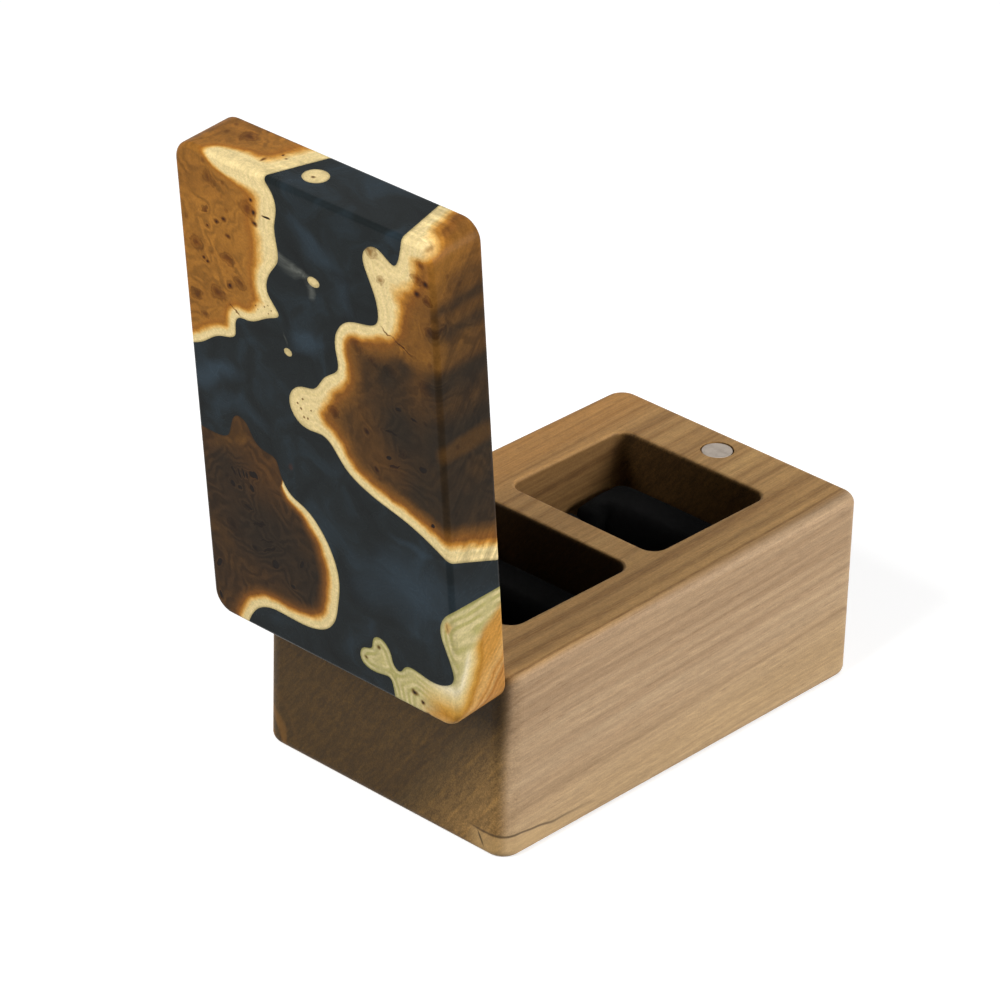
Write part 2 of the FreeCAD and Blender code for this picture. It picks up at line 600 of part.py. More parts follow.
def make_pin(side, across):
    body = new_body(f"{side}_hinge_pin")
    pad_across(body, f"{body.Name}_section", lambda sketch: draw_circle(
        sketch, ("0", "0"), "Sizes.pin_diameter"), "(Sizes.hinge_width / 2)")
    add_fillet(body, "Sizes.pin_end_round", lambda edge: edge.Curve.TypeId == "Part::GeomCircle")
    place_at_hinge(body, across)
    return body


# The lid

def make_lid_blank():
    """The whole lid before it is told apart into resin and burl, with its hollows, mortises and holes."""
    body = new_body("lid_blank")
    plan = new_sketch(body, "lid_plan", out=LID_UNDERSIDE)
    draw_box(plan, f"-{BASE_WIDTH} / 2", f"{BASE_WIDTH} / 2", LID_FREE_END, HINGE_INSET)
    add_pad(body, plan, "Sizes.lid_thickness")
    add_fillet(body, "Sizes.corner_radius", is_upright)
    faces = [measure(LID_UNDERSIDE), measure(LID_OUTER_FACE)]
    add_fillet(body, "Sizes.lid_edge_round",
               lambda edge: any(is_level_at(edge, face) for face in faces))
    for name, middle in POCKETS.items():
        cut_hollow(body, f"{name}_lid_hollow", f"({middle} - {HINGE_Y})",
                   f"({LID_UNDERSIDE} - Sizes.overrun)", "Sizes.lid_hollow_depth + Sizes.overrun")
    bore = new_sketch(body, "lid_magnet_bore", out=f"({LID_UNDERSIDE} - Sizes.overrun)")
    draw_circle(bore, ("0", LID_MAGNET_Y), MAGNET_BORE_DIAMETER)
    add_pocket(body, bore, f"{MAGNET_BORE_DEPTH} + Sizes.overrun")
    for side, across in HINGES.items():
        mortise = new_sketch(body, f"{side}_lid_mortise", "YZ_Plane", out=f"({across} - {MORTISE_HALF})")
        draw_box(mortise, f"-({LID_LEAF_REACH} + Sizes.mortise_clearance)",
                 f"(Sizes.leaf_thickness + Sizes.mortise_clearance - {KNUCKLE_RADIUS})",
                 f"({LID_UNDERSIDE} - Sizes.overrun)", f"({LID_UNDERSIDE} + Sizes.leaf_thickness)")
        add_pocket(body, mortise, f"2 * {MORTISE_HALF}")
    for name, across in SCREW_PLACES.items():
        hole = lid_screw_sketch(body, f"lid_screw_hole_{name}", across)
        cut_screw_hole(body, hole, draw_lid_screw, "V_Axis")
    place_at_hinge(body, with_lid=True)
    return body


def lid_point(share_across, share_along, height):
    """A point of the shut lid, in the hinge's frame."""
    width = measure(BASE_WIDTH)
    across = width / 2 - share_across * width
    along = measure(LID_FREE_END) + share_along * measure(BASE_LENGTH)
    return Vector(across, along, height)


def make_tool(name, shape):
    """A cutting shape that part of the lid is told apart by."""
    tool = doc.addObject("Part::Feature", name)
    tool.Shape = shape
    place_at_hinge(tool, with_lid=True)
    return tool


def make_burl_tool(name):
    """A leaning prism with the burl's outline on the outer face, through the whole lid."""
    outer = measure(LID_OUTER_FACE)
    points = [lid_point(across, along, outer) for across, along in BURL_SHARES[name]]
    shore = Part.BSplineCurve()
    shore.interpolate(points)
    corner = lid_point(*BURL_CORNER_SHARES[name], outer)
    edges = [shore.toShape(), Part.LineSegment(points[-1], corner).toShape(),
             Part.LineSegment(corner, points[0]).toShape()]
    thickness = measure("Sizes.lid_thickness")
    across = measure(f"Sizes.{name}_lean_across")
    along = measure(f"Sizes.{name}_lean_along")
    lean = Vector(-across, along, -thickness)
    spare = lean * (measure("Sizes.overrun") / thickness)
    face = Part.Face(Part.Wire(edges))
    face.translate(-spare)
    return make_tool(f"burl_{name}_tool", face.extrude(spare + lean + spare))


def make_chip_shape(centre, normal, along, length, width):
    """An oval chip that starts outside a face of the lid and goes in to its depth."""
    major, minor = measure(length) / 2, measure(width) / 2
    across = normal.cross(along)
    oval = Part.Ellipse(centre + along * major, centre + across * minor, centre)
    face = Part.Face(Part.Wire([oval.toShape()]))
    outside = measure("Sizes.overrun")
    face.translate(normal * outside)
    return face.extrude(-normal * (outside + measure("Sizes.chip_depth")))


def make_chip_tool():
    outer = measure(LID_OUTER_FACE)
    end_across, end_through = END_CHIP_SHARES
    end_middle = lid_point(end_across, 0, outer - end_through * measure("Sizes.lid_thickness"))
    up, front, side = Vector(0, 0, 1), Vector(0, -1, 0), Vector(1, 0, 0)
    shapes = [
        make_chip_shape(lid_point(*LARGE_CHIP_SHARES, outer), up, side,
                        "Sizes.large_chip_length", "Sizes.large_chip_width"),
        make_chip_shape(lid_point(*SMALL_CHIP_SHARES, outer), up, side,
                        "Sizes.small_chip_length", "Sizes.small_chip_width"),
        make_chip_shape(end_middle, front, side, "Sizes.end_chip_length", "Sizes.end_chip_width"),
    ]
    return make_tool("burl_chips_tool", Part.Compound(shapes))


def make_lid():
    """The burl pieces, the chips and the resin that fills the rest of the lid."""
    blank = make_lid_blank()
    burl_tools = [make_burl_tool(name) for name in BURL_SHARES]
    chip_tool = make_chip_tool()
    pieces = []
    for name, tool in zip(BURL_SHARES, burl_tools):
        burl = doc.addObject("Part::Common", f"burl_{name}")
        burl.Base, burl.Tool = blank, tool
        pieces.append(burl)
    all_burl = doc.addObject("Part::Compound", "all_burl_tools")
    all_burl.Links = burl_tools
    between = doc.addObject("Part::Cut", "between_burls")
    between.Base, between.Tool = blank, all_burl
    chips = doc.addObject("Part::Common", "burl_chips")
    chips.Base, chips.Tool = between, chip_tool
    resin = doc.addObject("Part::Cut", "lid_resin")
    resin.Base, resin.Tool = between, chip_tool
    pieces += [chips, resin]
    for piece in pieces:
        piece.Label = piece.Name
    return pieces


def make_all():
    nodes = [make_base_block()]
    for name, middle in POCKETS.items():
        nodes.append(make_liner(name, middle))
        nodes += [make_ring_pad(name, end, middle) for end in ("front", "back")]
    nodes.append(make_magnet("base_magnet", MAGNET_Y, BASE_MAGNET_BOTTOM))
    lid_magnet = make_magnet("lid_magnet", LID_MAGNET_Y, f"{LID_UNDERSIDE} + Sizes.magnet_setback")
    place_at_hinge(lid_magnet, with_lid=True)
    nodes.append(lid_magnet)
    nodes += make_lid()
    for side, across in HINGES.items():
        nodes += [make_base_leaf(side, across), make_lid_leaf(side, across), make_pin(side, across)]
    nodes.append(make_screws("base_leaf_screws", base_screw_sketch, draw_base_screw, "H_Axis", False))
    nodes.append(make_screws("lid_leaf_screws", lid_screw_sketch, draw_lid_screw, "V_Axis", True))
    return nodes


nodes = make_all()
doc.recompute()
for thing in doc.Objects:
    if "Invalid" in thing.State or "Error" in thing.State:
        raise RuntimeError(f"{thing.Name} failed: {thing.State}")
for node in nodes:
    if node.Shape.isNull() or not node.Shape.isValid() or not node.Shape.Solids:
        raise RuntimeError(f"{node.Label} has no valid solid")
os.makedirs("parts", exist_ok=True)
for node in nodes:
    node.Shape.exportStep(f"parts/{node.Label}.step")
    print(f"{node.Label}: {len(node.Shape.Solids)} solids, {node.Shape.Volume:.1f} mm3")
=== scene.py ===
import json
import math
from functools import partialmethod
from typing import NamedTuple

import bmesh
import bpy
import numpy as np
from mathutils import Matrix, Vector
from mathutils.bvhtree import BVHTree


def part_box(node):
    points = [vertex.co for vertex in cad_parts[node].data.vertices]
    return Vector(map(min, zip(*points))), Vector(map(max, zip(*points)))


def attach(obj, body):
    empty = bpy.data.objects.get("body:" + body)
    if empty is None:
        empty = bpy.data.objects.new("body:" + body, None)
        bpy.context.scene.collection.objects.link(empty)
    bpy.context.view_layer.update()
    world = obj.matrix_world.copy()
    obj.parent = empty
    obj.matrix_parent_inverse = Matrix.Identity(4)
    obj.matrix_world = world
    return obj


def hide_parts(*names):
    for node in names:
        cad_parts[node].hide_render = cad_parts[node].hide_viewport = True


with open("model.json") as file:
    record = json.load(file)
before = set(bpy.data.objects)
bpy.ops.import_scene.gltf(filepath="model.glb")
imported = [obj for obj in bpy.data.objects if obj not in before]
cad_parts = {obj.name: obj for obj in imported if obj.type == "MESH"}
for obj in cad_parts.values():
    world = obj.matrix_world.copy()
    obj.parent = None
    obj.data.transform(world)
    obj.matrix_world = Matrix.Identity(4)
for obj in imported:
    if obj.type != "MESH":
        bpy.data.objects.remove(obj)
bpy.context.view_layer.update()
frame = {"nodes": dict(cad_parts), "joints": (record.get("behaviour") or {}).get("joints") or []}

MM = 0.001
PER_MM = 1000.0
TINY = 1e-30
WHITE = (1.0, 1.0, 1.0, 1.0)


def paint(red, green, blue):
    """A linear colour from display values of 0 to 255, by the sRGB curve."""
    def linear(value):
        share = value / 255
        return ((share + 0.055) / 1.055) ** 2.4 if share > 0.04045 else share / 12.92
    return (linear(red), linear(green), linear(blue), 1.0)


class Spot(NamedTuple):
    """An oval spot: middle, half sizes, turn in degrees, strength, depth of the middle, half height."""

    across: float
    along: float
    length: float
    width: float
    turn: float = 0.0
    strength: float = 1.0
    middle: float = 0.0
    height: float = None


# The lid's own frame: the lid turned shut, in millimetres from its far side, its free end and
# its outer face.
HINGE = frame["joints"][0]
HINGE_POINT = Vector(HINGE["pos_m"])
OPEN_ANGLE = math.radians(HINGE["range_deg"][1])
SHUT = (
    Matrix.Translation(HINGE_POINT)
    @ Matrix.Rotation(OPEN_ANGLE, 4, Vector(HINGE["axis"]))
    @ Matrix.Translation(-HINGE_POINT)
)
BURLS = ["burl_front_right", "burl_front_left", "burl_rear_right", "burl_rear_left"]
CAST_PIECES = BURLS + ["burl_chips", "lid_resin"]

# Cells of the cast pieces, in millimetres: across, along and in depth.
CAST_STEPS = (0.9, 0.9, 1.5)

# Points nearer than this, in metres, are joined. Faces that meet at less than the flat angle become
# one, and those that meet at more than the sharp angle keep a sharp edge.
MERGE = 1e-6
FLAT_ANGLE = math.radians(0.3)
SHARP_ANGLE = math.radians(35)

# Blending by nearness: the gap at which a value levels off, and the power of the gap.
SPREAD_GAP = 0.5
SPREAD_POWER = 3

# Sapwood along the edge of each burl: across, along, width of the pale band, all in millimetres.
SAP_WIDTHS = {
    "burl_front_right": [
        (12, 1, 4.5), (23, 3, 5), (22, 12, 5.5), (20, 20, 3), (20, 26, 3.5),
        (15, 28.5, 2), (11, 33, 2), (3, 38, 2), (0, 39, 2),
    ],
    "burl_front_left": [
        (46, 5, 9), (47.5, 12, 7.5), (48, 17, 6), (51, 14, 6.5), (53, 3, 2.8), (54, 9, 4.6), (53, 17, 4.5),
        (46, 21, 2.2), (52, 23, 2.6), (58, 22, 3), (38, 24, 2.2), (36.5, 30, 2.2), (32, 36, 3), (27, 43, 8),
        (33, 46, 2.6), (38, 52, 2.2), (45, 55, 2.2), (52, 57, 2.4), (58, 60, 3),
    ],
    "burl_rear_right": [
        (0, 57, 0.05), (8, 53, 0.05), (13, 54, 0.05), (18, 58, 0.05), (23, 64, 1.5), (28, 68, 2.3),
        (31, 75, 2.6), (31, 82, 2.6), (27, 88, 2.4), (20, 89.5, 2), (12, 90, 2.2), (9, 94, 2.2),
    ],
    "burl_rear_left": [(46, 92, 9), (40, 87, 12), (52, 84, 6), (58, 76, 6.5), (59, 90, 6)],
    "burl_chips": [(25, 25, 10)],
}

# Where the band is narrower than this the heart runs out to the edge.
BARE_WIDTH = 0.8
BARE_SHIFT = 3.5

# How dark the heart of each burl is: across, along, share of the darkest brown.
HEART_SHARES = {
    "burl_front_right": [
        (3, 4, 0.45), (8, 2, 0.4), (15, 15, 0.1), (6, 14, 0.05), (6, 28, 0.2), (3, 34, 0.3),
    ],
    "burl_front_left": [
        (57, 3, -0.3), (55, 9, -0.6), (58, 8, 0.1), (55, 16, -0.6), (57.5, 13, 0.0), (52, 21, -0.3),
        (57, 20.5, -0.1), (60, 3, 0.2), (60, 8, 0.6), (60, 12, 0.8), (60, 17, 0.8), (60, 21, 0.6),
        (60, 26, 0.95), (52, 25.5, 0.85), (41, 27, 0.6), (44, 26, 0.75), (43, 33, 0.75), (41, 40, 0.6),
        (43, 46, 0.6), (47, 50, 0.7), (48, 28, 0.95), (50, 38, 1), (60, 38, 1), (56, 50, 0.95),
    ],
    "burl_rear_right": [
        (2, 59, 0.6), (9, 54, 0.5), (19, 59, 0.55), (5, 63, 0.9), (15, 75, 1), (25, 80, 0.95),
        (12, 86, 0.7), (18, 87, 0.7), (3, 88, 0.75), (5, 93, 0.6),
    ],
    "burl_rear_left": [(50, 90, 0)],
    "burl_chips": [(25, 25, 0)],
}

# Eyes and cracks in each burl, as rows of a Spot. Those on the end face have a depth and a half height.
KNOTS = {
    "burl_front_right": [
        (8.1, 5.0, 2.3, 1.5, 20, 0.6), (18.2, 5.8, 0.7, 0.6, 0, 0.78), (17.2, 7.8, 2.8, 2.2, 10, 0.65),
        (18.8, 8.0, 0.8, 0.7, 0, 0.75), (21.6, 7.8, 1.0, 0.3, 0, 0.95), (18.6, 9.9, 1.1, 0.8, 30, 0.75),
        (11.2, 11.9, 0.9, 0.7, 0, 0.78), (6.6, 11.4, 1.5, 0.5, -40, 0.75), (9.5, 13, 0.9, 0.6, 0, 0.75),
        (11.9, 15, 1.1, 0.7, 20, 0.65), (7, 14.7, 0.6, 0.6, 0, 0.7), (3.8, 19, 2.4, 1.9, 0, 0.75),
        (5.2, 21.4, 0.8, 0.6, -20, 0.78), (6.2, 21.9, 0.7, 0.6, 0, 0.78), (11.2, 19.7, 2.5, 1.8, 0, 0.72),
        (11.2, 25, 0.9, 0.7, 0, 0.75), (14, 23.4, 2.1, 1.6, 10, 0.65), (8.1, 27.5, 2.7, 2.1, 0, 0.75),
        (2.8, 29.7, 2.3, 1.9, 0, 0.7), (12.3, 29.3, 1.8, 0.22, 35, 0.85), (4.4, 33.2, 1.4, 1.0, 0, 0.6),
        (17.3, 26.6, 0.25, 0.25, 0, 0.7), (17.9, 27.1, 0.25, 0.2, 0, 0.7), (19.5, 26, 0.25, 0.2, 0, 0.7),
        (20.3, 25.4, 0.25, 0.2, 0, 0.7), (20.5, 26.9, 0.25, 0.2, 0, 0.7), (21.1, 26.2, 0.25, 0.2, 0, 0.7),
        (10.1, 0, 2.4, 2.5, 0, 0.75, 8.1, 1.9), (19.2, 0, 0.45, 1, 0, 0.75, 7.2, 0.4),
        (20.6, 0, 0.45, 1, 0, 0.7, 6.6, 0.4), (17.6, 0, 0.6, 1, 0, 0.7, 4.2, 1.2),
    ],
    "burl_front_left": [
        (46.1, 5.2, 2.0, 1.7, 20, 0.78), (48, 10.2, 1.3, 1.1, 0, 0.7), (56.6, 6.9, 1.7, 1.4, 0, 0.75),
        (58.4, 7.2, 1.2, 1.0, 0, 0.75), (56.3, 9.6, 1.2, 0.9, 0, 0.75), (58.6, 10.2, 1.4, 1.1, 0, 0.78),
        (58.8, 16.2, 1.7, 1.4, 0, 0.7), (57.4, 3.4, 1.5, 1.0, 30, 0.65), (58.8, 0.6, 1.2, 0.8, 0, 0.7),
        (41.2, 25, 2.2, 1.8, 0, 0.55), (44.7, 26.9, 1.4, 1.1, 0, 0.6), (48.8, 27.2, 2.2, 1.5, 0, 0.55),
        (57.2, 27.2, 2.4, 1.9, 0, 0.55), (34.7, 40.6, 1.9, 1.7, 0, 0.7), (50.3, 34.2, 0.7, 0.35, 0, 0.95),
        (53.8, 34.7, 0.8, 0.3, 15, 0.9), (48.1, 39.4, 1.6, 0.3, -5, 0.9), (47.2, 44.9, 0.8, 0.45, -30, 0.9),
        (50.6, 42.8, 1.6, 1.2, -20, 0.6), (55, 44, 1.0, 0.7, -30, 0.85), (56.6, 54.4, 0.6, 0.5, 0, 0.9),
        (48.5, 45.8, 1.6, 0.3, -10, 0.82), (42.2, 41.5, 0.9, 0.7, 0, 0.7), (44, 48.5, 1.1, 0.8, 20, 0.6),
        (48.4, 19.8, 1.7, 0.18, 20, 0.85), (52.3, 21.2, 2.6, 0.2, 22, 0.9),
        (27.2, 41.1, 0.4, 0.35, 0, 0.75), (25.8, 42.5, 0.4, 0.35, 0, 0.75), (26.6, 43.4, 0.45, 0.4, 0, 0.75),
        (28.9, 42.8, 0.28, 0.28, 0, 0.8), (27.2, 44.8, 0.4, 0.35, 0, 0.7), (28.1, 44.8, 0.35, 0.35, 0, 0.7),
    ],
    "burl_rear_right": [
        (8.3, 63.6, 1.3, 0.35, 60, 0.95), (9.6, 63.3, 1.0, 0.3, 65, 0.9), (10.6, 62.9, 1.0, 0.25, 70, 0.95),
        (11.4, 63, 0.9, 0.25, 70, 0.9), (12.8, 62.4, 0.9, 0.7, 0, 0.95), (13.6, 62.1, 0.8, 0.6, 40, 0.95),
        (7.6, 66.2, 0.8, 0.6, 40, 0.95), (9.4, 66.4, 0.5, 0.45, 0, 0.85), (12.5, 65.3, 0.7, 0.5, 40, 0.95),
        (10.9, 69.5, 1.9, 0.9, 10, 0.6), (11.3, 69.6, 0.8, 0.25, 20, 0.9), (13.6, 72.2, 2.0, 0.4, -22, 1),
        (6.9, 75.3, 2.6, 1.9, 20, 0.6), (12, 77.9, 1.1, 0.8, 0, 0.75), (16.9, 79.2, 1.2, 0.8, -45, 1),
        (23.6, 76.4, 1.0, 0.5, -60, 1), (20.9, 82, 0.6, 0.45, 0, 0.95), (2.2, 85, 1.2, 0.6, -50, 0.95),
        (1.9, 92.2, 0.9, 0.5, 70, 0.9), (15.5, 76.6, 2.2, 0.3, -25, 0.85), (15.2, 75.2, 2.0, 0.2, -20, 0.82),
    ],
    "burl_rear_left": [
        (49.6, 91.8, 1.2, 0.9, 10, 0.8), (51.4, 93.1, 0.8, 0.7, 0, 0.8), (52.5, 95.1, 0.9, 0.6, 0, 0.8),
        (41.4, 86, 0.8, 0.65, 0, 0.7), (38.2, 89.4, 0.7, 0.55, 0, 0.65), (58.7, 74.6, 1.6, 0.4, 75, 0.5),
    ],
    "burl_chips": [(28.4, 0, 0.6, 1, 0, 0.8, 5.2, 0.5)],
}
KNOT_DEPTH = 4.0

# Pale sapwood away from the edge, in the same terms.
PALE = {"burl_front_right": [(12, 0, 10, 4.2, 8, 0.85)], "burl_front_left": [(58, 1, 5, 2.4, 0, 0.5)]}
PALE_DEPTH = 6.0

# Amber patches, in the same terms.
WARM = {
    "burl_front_left": [
        (60, 2.5, 3, 5, 0, 0.3, 2.5, 7), (60, 8, 2.5, 4, 0, 0.2, 0.5, 3.5),
        (60, 20, 2.5, 4, 0, 0.18, 0.5, 2.5), (60, 39.5, 2.0, 2.4, 0, 0.1, 6, 12),
    ],
    "burl_rear_left": [(58.7, 74.5, 0.9, 1.6, 20, 0.8, 0, 2)],
}

# The amber flank of the corner burl, on the lid's side: an oval in it stays pale, stripes run past it,
# and its upper edge slants, so it starts nearer the free end where the depth is more.
FLANKED = "burl_rear_left"
FLANK_OVAL = Spot(60, 80, 40, 13.5, middle=-2, height=8.5)
FLANK_TILT = 0.6
FLANK_START = (80.6, 84.6)
FLANK_EDGE = (50.0, 57.0)
FLANK_RIM = (0.4, 0.6)
FLANK_PAST = (0.98, 1.12)
FLANK_WANDER = 3.0
FLANK_LINES = 55.0
STRIPES_START, STRIPES_LENGTH = 92.0, 12.0

# Pearl clouds, a rusty spot and smoke in the resin, in the same terms.
CLOUDS = [
    (28, 29, 5, 3.5, 20, 0.8), (5, 44, 7, 3, -15, 0.8), (50, 62, 6, 1.6, 10, 0.55), (49, 72, 13, 9, 0, 0.7),
    (33, 9, 6, 3, 40, 0.5), (38, 17, 5, 3, 60, 0.35), (31, 71, 1.6, 6, 20, 0.35), (10, 50, 8, 2, 5, 0.3),
]
RUST = [(23.3, 58.2, 1.3, 1.1, 0, 0.8)]
SMOKE = [(26.8, 14.6, 4.6, 1.5, 28, 0.8), (29.4, 18.4, 2.6, 1.0, 50, 0.6), (22.2, 29.6, 2.0, 0.6, 55, 0.5)]
CLOUD_DEPTH, RUST_DEPTH, SMOKE_DEPTH = 30.0, 3.0, 4.0
CLOUD_FADE, RUST_FADE, SMOKE_FADE = (0.1, 1.3), (0.2, 1.1), (0.0, 1.1)

# Noise mostly lies between these two, and a line fades between these shares of its half width.
NOISE_LOW, NOISE_HIGH = 0.3, 0.7
NOISE_MIDDLE = 0.5
LINE_CORE, LINE_RIM = 0.2, 1.6


class Net:
    """The nodes of a new material or world, with one short method for each kind of node."""

    def __init__(self, owner):
        owner.use_nodes = True
        self.owner = owner
        self.tree = owner.node_tree
        self.tree.nodes.clear()

    def add(self, kind, **settings):
        node = self.tree.nodes.new(kind)
        for key, value in settings.items():
            setattr(node, key, value)
        return node

    def put(self, socket, value):
        if isinstance(value, bpy.types.NodeSocket):
            self.tree.links.new(value, socket)
        else:
            socket.default_value = value

    def math(self, operation, first, second=0.0, third=0.0):
        node = self.add("ShaderNodeMath", operation=operation)
        for socket, value in zip(node.inputs, (first, second, third)):
            self.put(socket, value)
        return node.outputs[0]

    plus = partialmethod(math, "ADD")
    minus = partialmethod(math, "SUBTRACT")
    times = partialmethod(math, "MULTIPLY")
    most = partialmethod(math, "MAXIMUM")
    size = partialmethod(math, "ABSOLUTE")
    wave = partialmethod(math, "SINE")
    linear = partialmethod(math, "MULTIPLY_ADD")

    def vector(self, operation, first, second=(0, 0, 0)):
        node = self.add("ShaderNodeVectorMath", operation=operation)
        self.put(node.inputs[0], first)
        self.put(node.inputs[1], second)
        return node.outputs["Value" if operation in ("LENGTH", "DOT_PRODUCT") else "Vector"]

    def scaled(self, vector, factor):
        node = self.add("ShaderNodeVectorMath", operation="SCALE")
        self.put(node.inputs[0], vector)
        self.put(node.inputs["Scale"], factor)
        return node.outputs["Vector"]

    def split(self, vector):
        node = self.add("ShaderNodeSeparateXYZ")
        self.put(node.inputs[0], vector)
        return node.outputs

    def joined(self, *values):
        node = self.add("ShaderNodeCombineXYZ")
        for socket, value in zip(node.inputs, values):
            self.put(socket, value)
        return node.outputs[0]

    def mapped(self, vector, place=(0, 0, 0), turn=(0, 0, 0), size=(1, 1, 1)):
        """The vector in a frame of its own, at a place, turned and scaled."""
        node = self.add("ShaderNodeMapping", vector_type="TEXTURE")
        self.put(node.inputs["Vector"], vector)
        node.inputs["Location"].default_value = place
        node.inputs["Rotation"].default_value = turn
        node.inputs["Scale"].default_value = size
        return node.outputs[0]

    def step(self, value, start, end, low=0.0, high=1.0):
        """A smooth step: low up to start, high from end on."""
        node = self.add("ShaderNodeMapRange", interpolation_type="SMOOTHSTEP")
        for socket, setting in zip(node.inputs, (value, start, end, low, high)):
            self.put(socket, setting)
        return node.outputs[0]

    def vary(self, noise, low=0.0, high=1.0):
        """Noise turned into a factor from low to high."""
        return self.step(noise, NOISE_LOW, NOISE_HIGH, low, high)

    def mix(self, factor, first, second, blend="MIX"):
        node = self.add("ShaderNodeMix", data_type="RGBA", blend_type=blend)
        self.put(node.inputs[0], factor)
        self.put(node.inputs[6], first)
        self.put(node.inputs[7], second)
        return node.outputs[2]

    def tinted(self, colour, tint):
        return self.mix(1.0, colour, tint, "MULTIPLY")

    def ramp(self, value, stops):
        node = self.add("ShaderNodeValToRGB")
        self.put(node.inputs[0], value)
        elements = node.color_ramp.elements
        while len(elements) < len(stops):
            elements.new(1.0)
        for element, (place, colour) in zip(elements, stops):
            element.position = place
            element.color = colour
        return node.outputs[0]

    def noise(self, vector, scale, detail=2.0, roughness=0.5, distortion=0.0, colour=False):
        node = self.add("ShaderNodeTexNoise")
        self.put(node.inputs["Vector"], vector)
        self.put(node.inputs["Scale"], scale)
        self.put(node.inputs["Detail"], detail)
        self.put(node.inputs["Roughness"], roughness)
        self.put(node.inputs["Distortion"], distortion)
        return node.outputs[1 if colour else 0]

    def stretched(self, vector, stretch, detail=2.0, roughness=0.5):
        """Noise with its own scale along each axis."""
        return self.noise(self.vector("MULTIPLY", vector, stretch), 1.0, detail, roughness)

    def cells(self, vector, scale):
        node = self.add("ShaderNodeTexVoronoi")
        self.put(node.inputs["Vector"], vector)
        self.put(node.inputs["Scale"], scale)
        return node.outputs["Distance"], node.outputs["Color"]

    def attribute(self, name, output="Fac"):
        return self.add("ShaderNodeAttribute", attribute_name=name).outputs[output]

    def millimetres(self):
        """A point of the object, in millimetres."""
        return self.scaled(self.add("ShaderNodeTexCoord").outputs["Object"], PER_MM)

    def warped(self, vector, scale, amount, detail=2.0):
        """The vector, pushed about by noise by up to half that amount."""
        push = self.noise(vector, scale, detail, colour=True)
        push = self.vector("SUBTRACT", push, (NOISE_MIDDLE, NOISE_MIDDLE, NOISE_MIDDLE))
        return self.vector("ADD", vector, self.scaled(push, amount))

    def spot(self, vector, spot, depth=None):
        """How far a point is from the middle of an oval spot: 1 at its rim."""
        return self.vector("LENGTH", self.mapped(
            vector,
            place=(spot.across, spot.along, spot.middle),
            turn=(0, 0, math.radians(spot.turn)),
            size=(spot.length, spot.width, depth if spot.height is None else spot.height),
        ))

    def patches(self, vector, rows, depth, fade):
        """The strongest of some spots at each point, each fading out from its middle."""
        total = 0.0
        for spot in spots(rows):
            total = self.most(total, self.step(self.spot(vector, spot, depth), *fade, spot.strength, 0.0))
        return total

    def lines(self, value, rows):
        """The strongest of some soft lines: value at the middle, half width, strength."""
        total = 0.0
        for middle, half, strength in rows:
            gap = self.size(self.minus(value, middle))
            total = self.most(total, self.step(gap, LINE_CORE * half, LINE_RIM * half, strength, 0.0))
        return total

    def seen(self):
        """1 for rays from the camera, also by mirror or glass, and 0 for light that lands on things."""
        rays = self.add("ShaderNodeLightPath").outputs
        mirrored = self.most(rays["Is Glossy Ray"], rays["Is Transmission Ray"])
        return self.most(rays["Is Camera Ray"], mirrored)

    def surface(self, colour, roughness, height, strength, distance, **constants):
        """Ends a material with a shader. Its bump has a height, a strength and a distance in metres."""
        shader = self.add("ShaderNodeBsdfPrincipled")
        self.put(shader.inputs["Base Color"], colour)
        self.put(shader.inputs["Roughness"], roughness)
        for key, value in constants.items():
            shader.inputs[key.replace("_", " ")].default_value = value
        bump = self.add("ShaderNodeBump")
        self.put(bump.inputs["Strength"], strength)
        self.put(bump.inputs["Distance"], distance)
        self.put(bump.inputs["Height"], height)
        self.put(shader.inputs["Normal"], bump.outputs[0])
        return self.end("ShaderNodeOutputMaterial", shader)

    def end(self, kind, shader):
        self.put(self.add(kind).inputs["Surface"], shader.outputs[0])
        return self.owner


def spots(rows):
    return [Spot(*row) for row in rows]


def corners_of(node):
    """The corner points of a node's triangles, one row of three points for each."""
    mesh = frame["nodes"][node].data
    mesh.calc_loop_triangles()
    index = np.empty(len(mesh.loop_triangles) * 3, dtype=int)
    mesh.loop_triangles.foreach_get("vertices", index)
    return points_of(mesh)[index].reshape(-1, 3, 3)


def points_of(mesh):
    """The points of a mesh, one in each row."""
    points = np.empty(len(mesh.vertices) * 3)
    mesh.vertices.foreach_get("co", points)
    return points.reshape(-1, 3)


def turned(points, matrix):
    """Points turned and moved by a matrix."""
    grid = np.array(matrix)
    return points @ grid[:3, :3].T + grid[:3, 3]


def sliced(node, low, high):
    """A node's mesh with each flat face cut into small cells along the lid's own axes."""
    form = bmesh.new()
    form.from_mesh(frame["nodes"][node].data)
    form.transform(SHUT)
    bmesh.ops.remove_doubles(form, verts=form.verts, dist=MERGE)
    bmesh.ops.dissolve_limit(form, angle_limit=FLAT_ANGLE, verts=form.verts, edges=form.edges)
    for axis, step in enumerate(CAST_STEPS):
        normal = [0.0, 0.0, 0.0]
        normal[axis] = 1.0
        for level in np.arange(low[axis] + step * MM, high[axis], step * MM):
            bmesh.ops.bisect_plane(
                form, geom=form.verts[:] + form.edges[:] + form.faces[:], dist=MERGE,
                plane_co=[share * level for share in normal], plane_no=normal,
            )
    bmesh.ops.remove_doubles(form, verts=form.verts, dist=MERGE)
    bmesh.ops.triangulate(form, faces=form.faces)
    form.transform(SHUT.inverted())
    mesh = bpy.data.meshes.new("cast_" + node)
    form.to_mesh(mesh)
    form.free()
    return mesh


def nearest(tree, points):
    """The distance from each point to a surface, in millimetres."""
    return np.array([tree.find_nearest(Vector(point))[3] for point in points]) * PER_MM


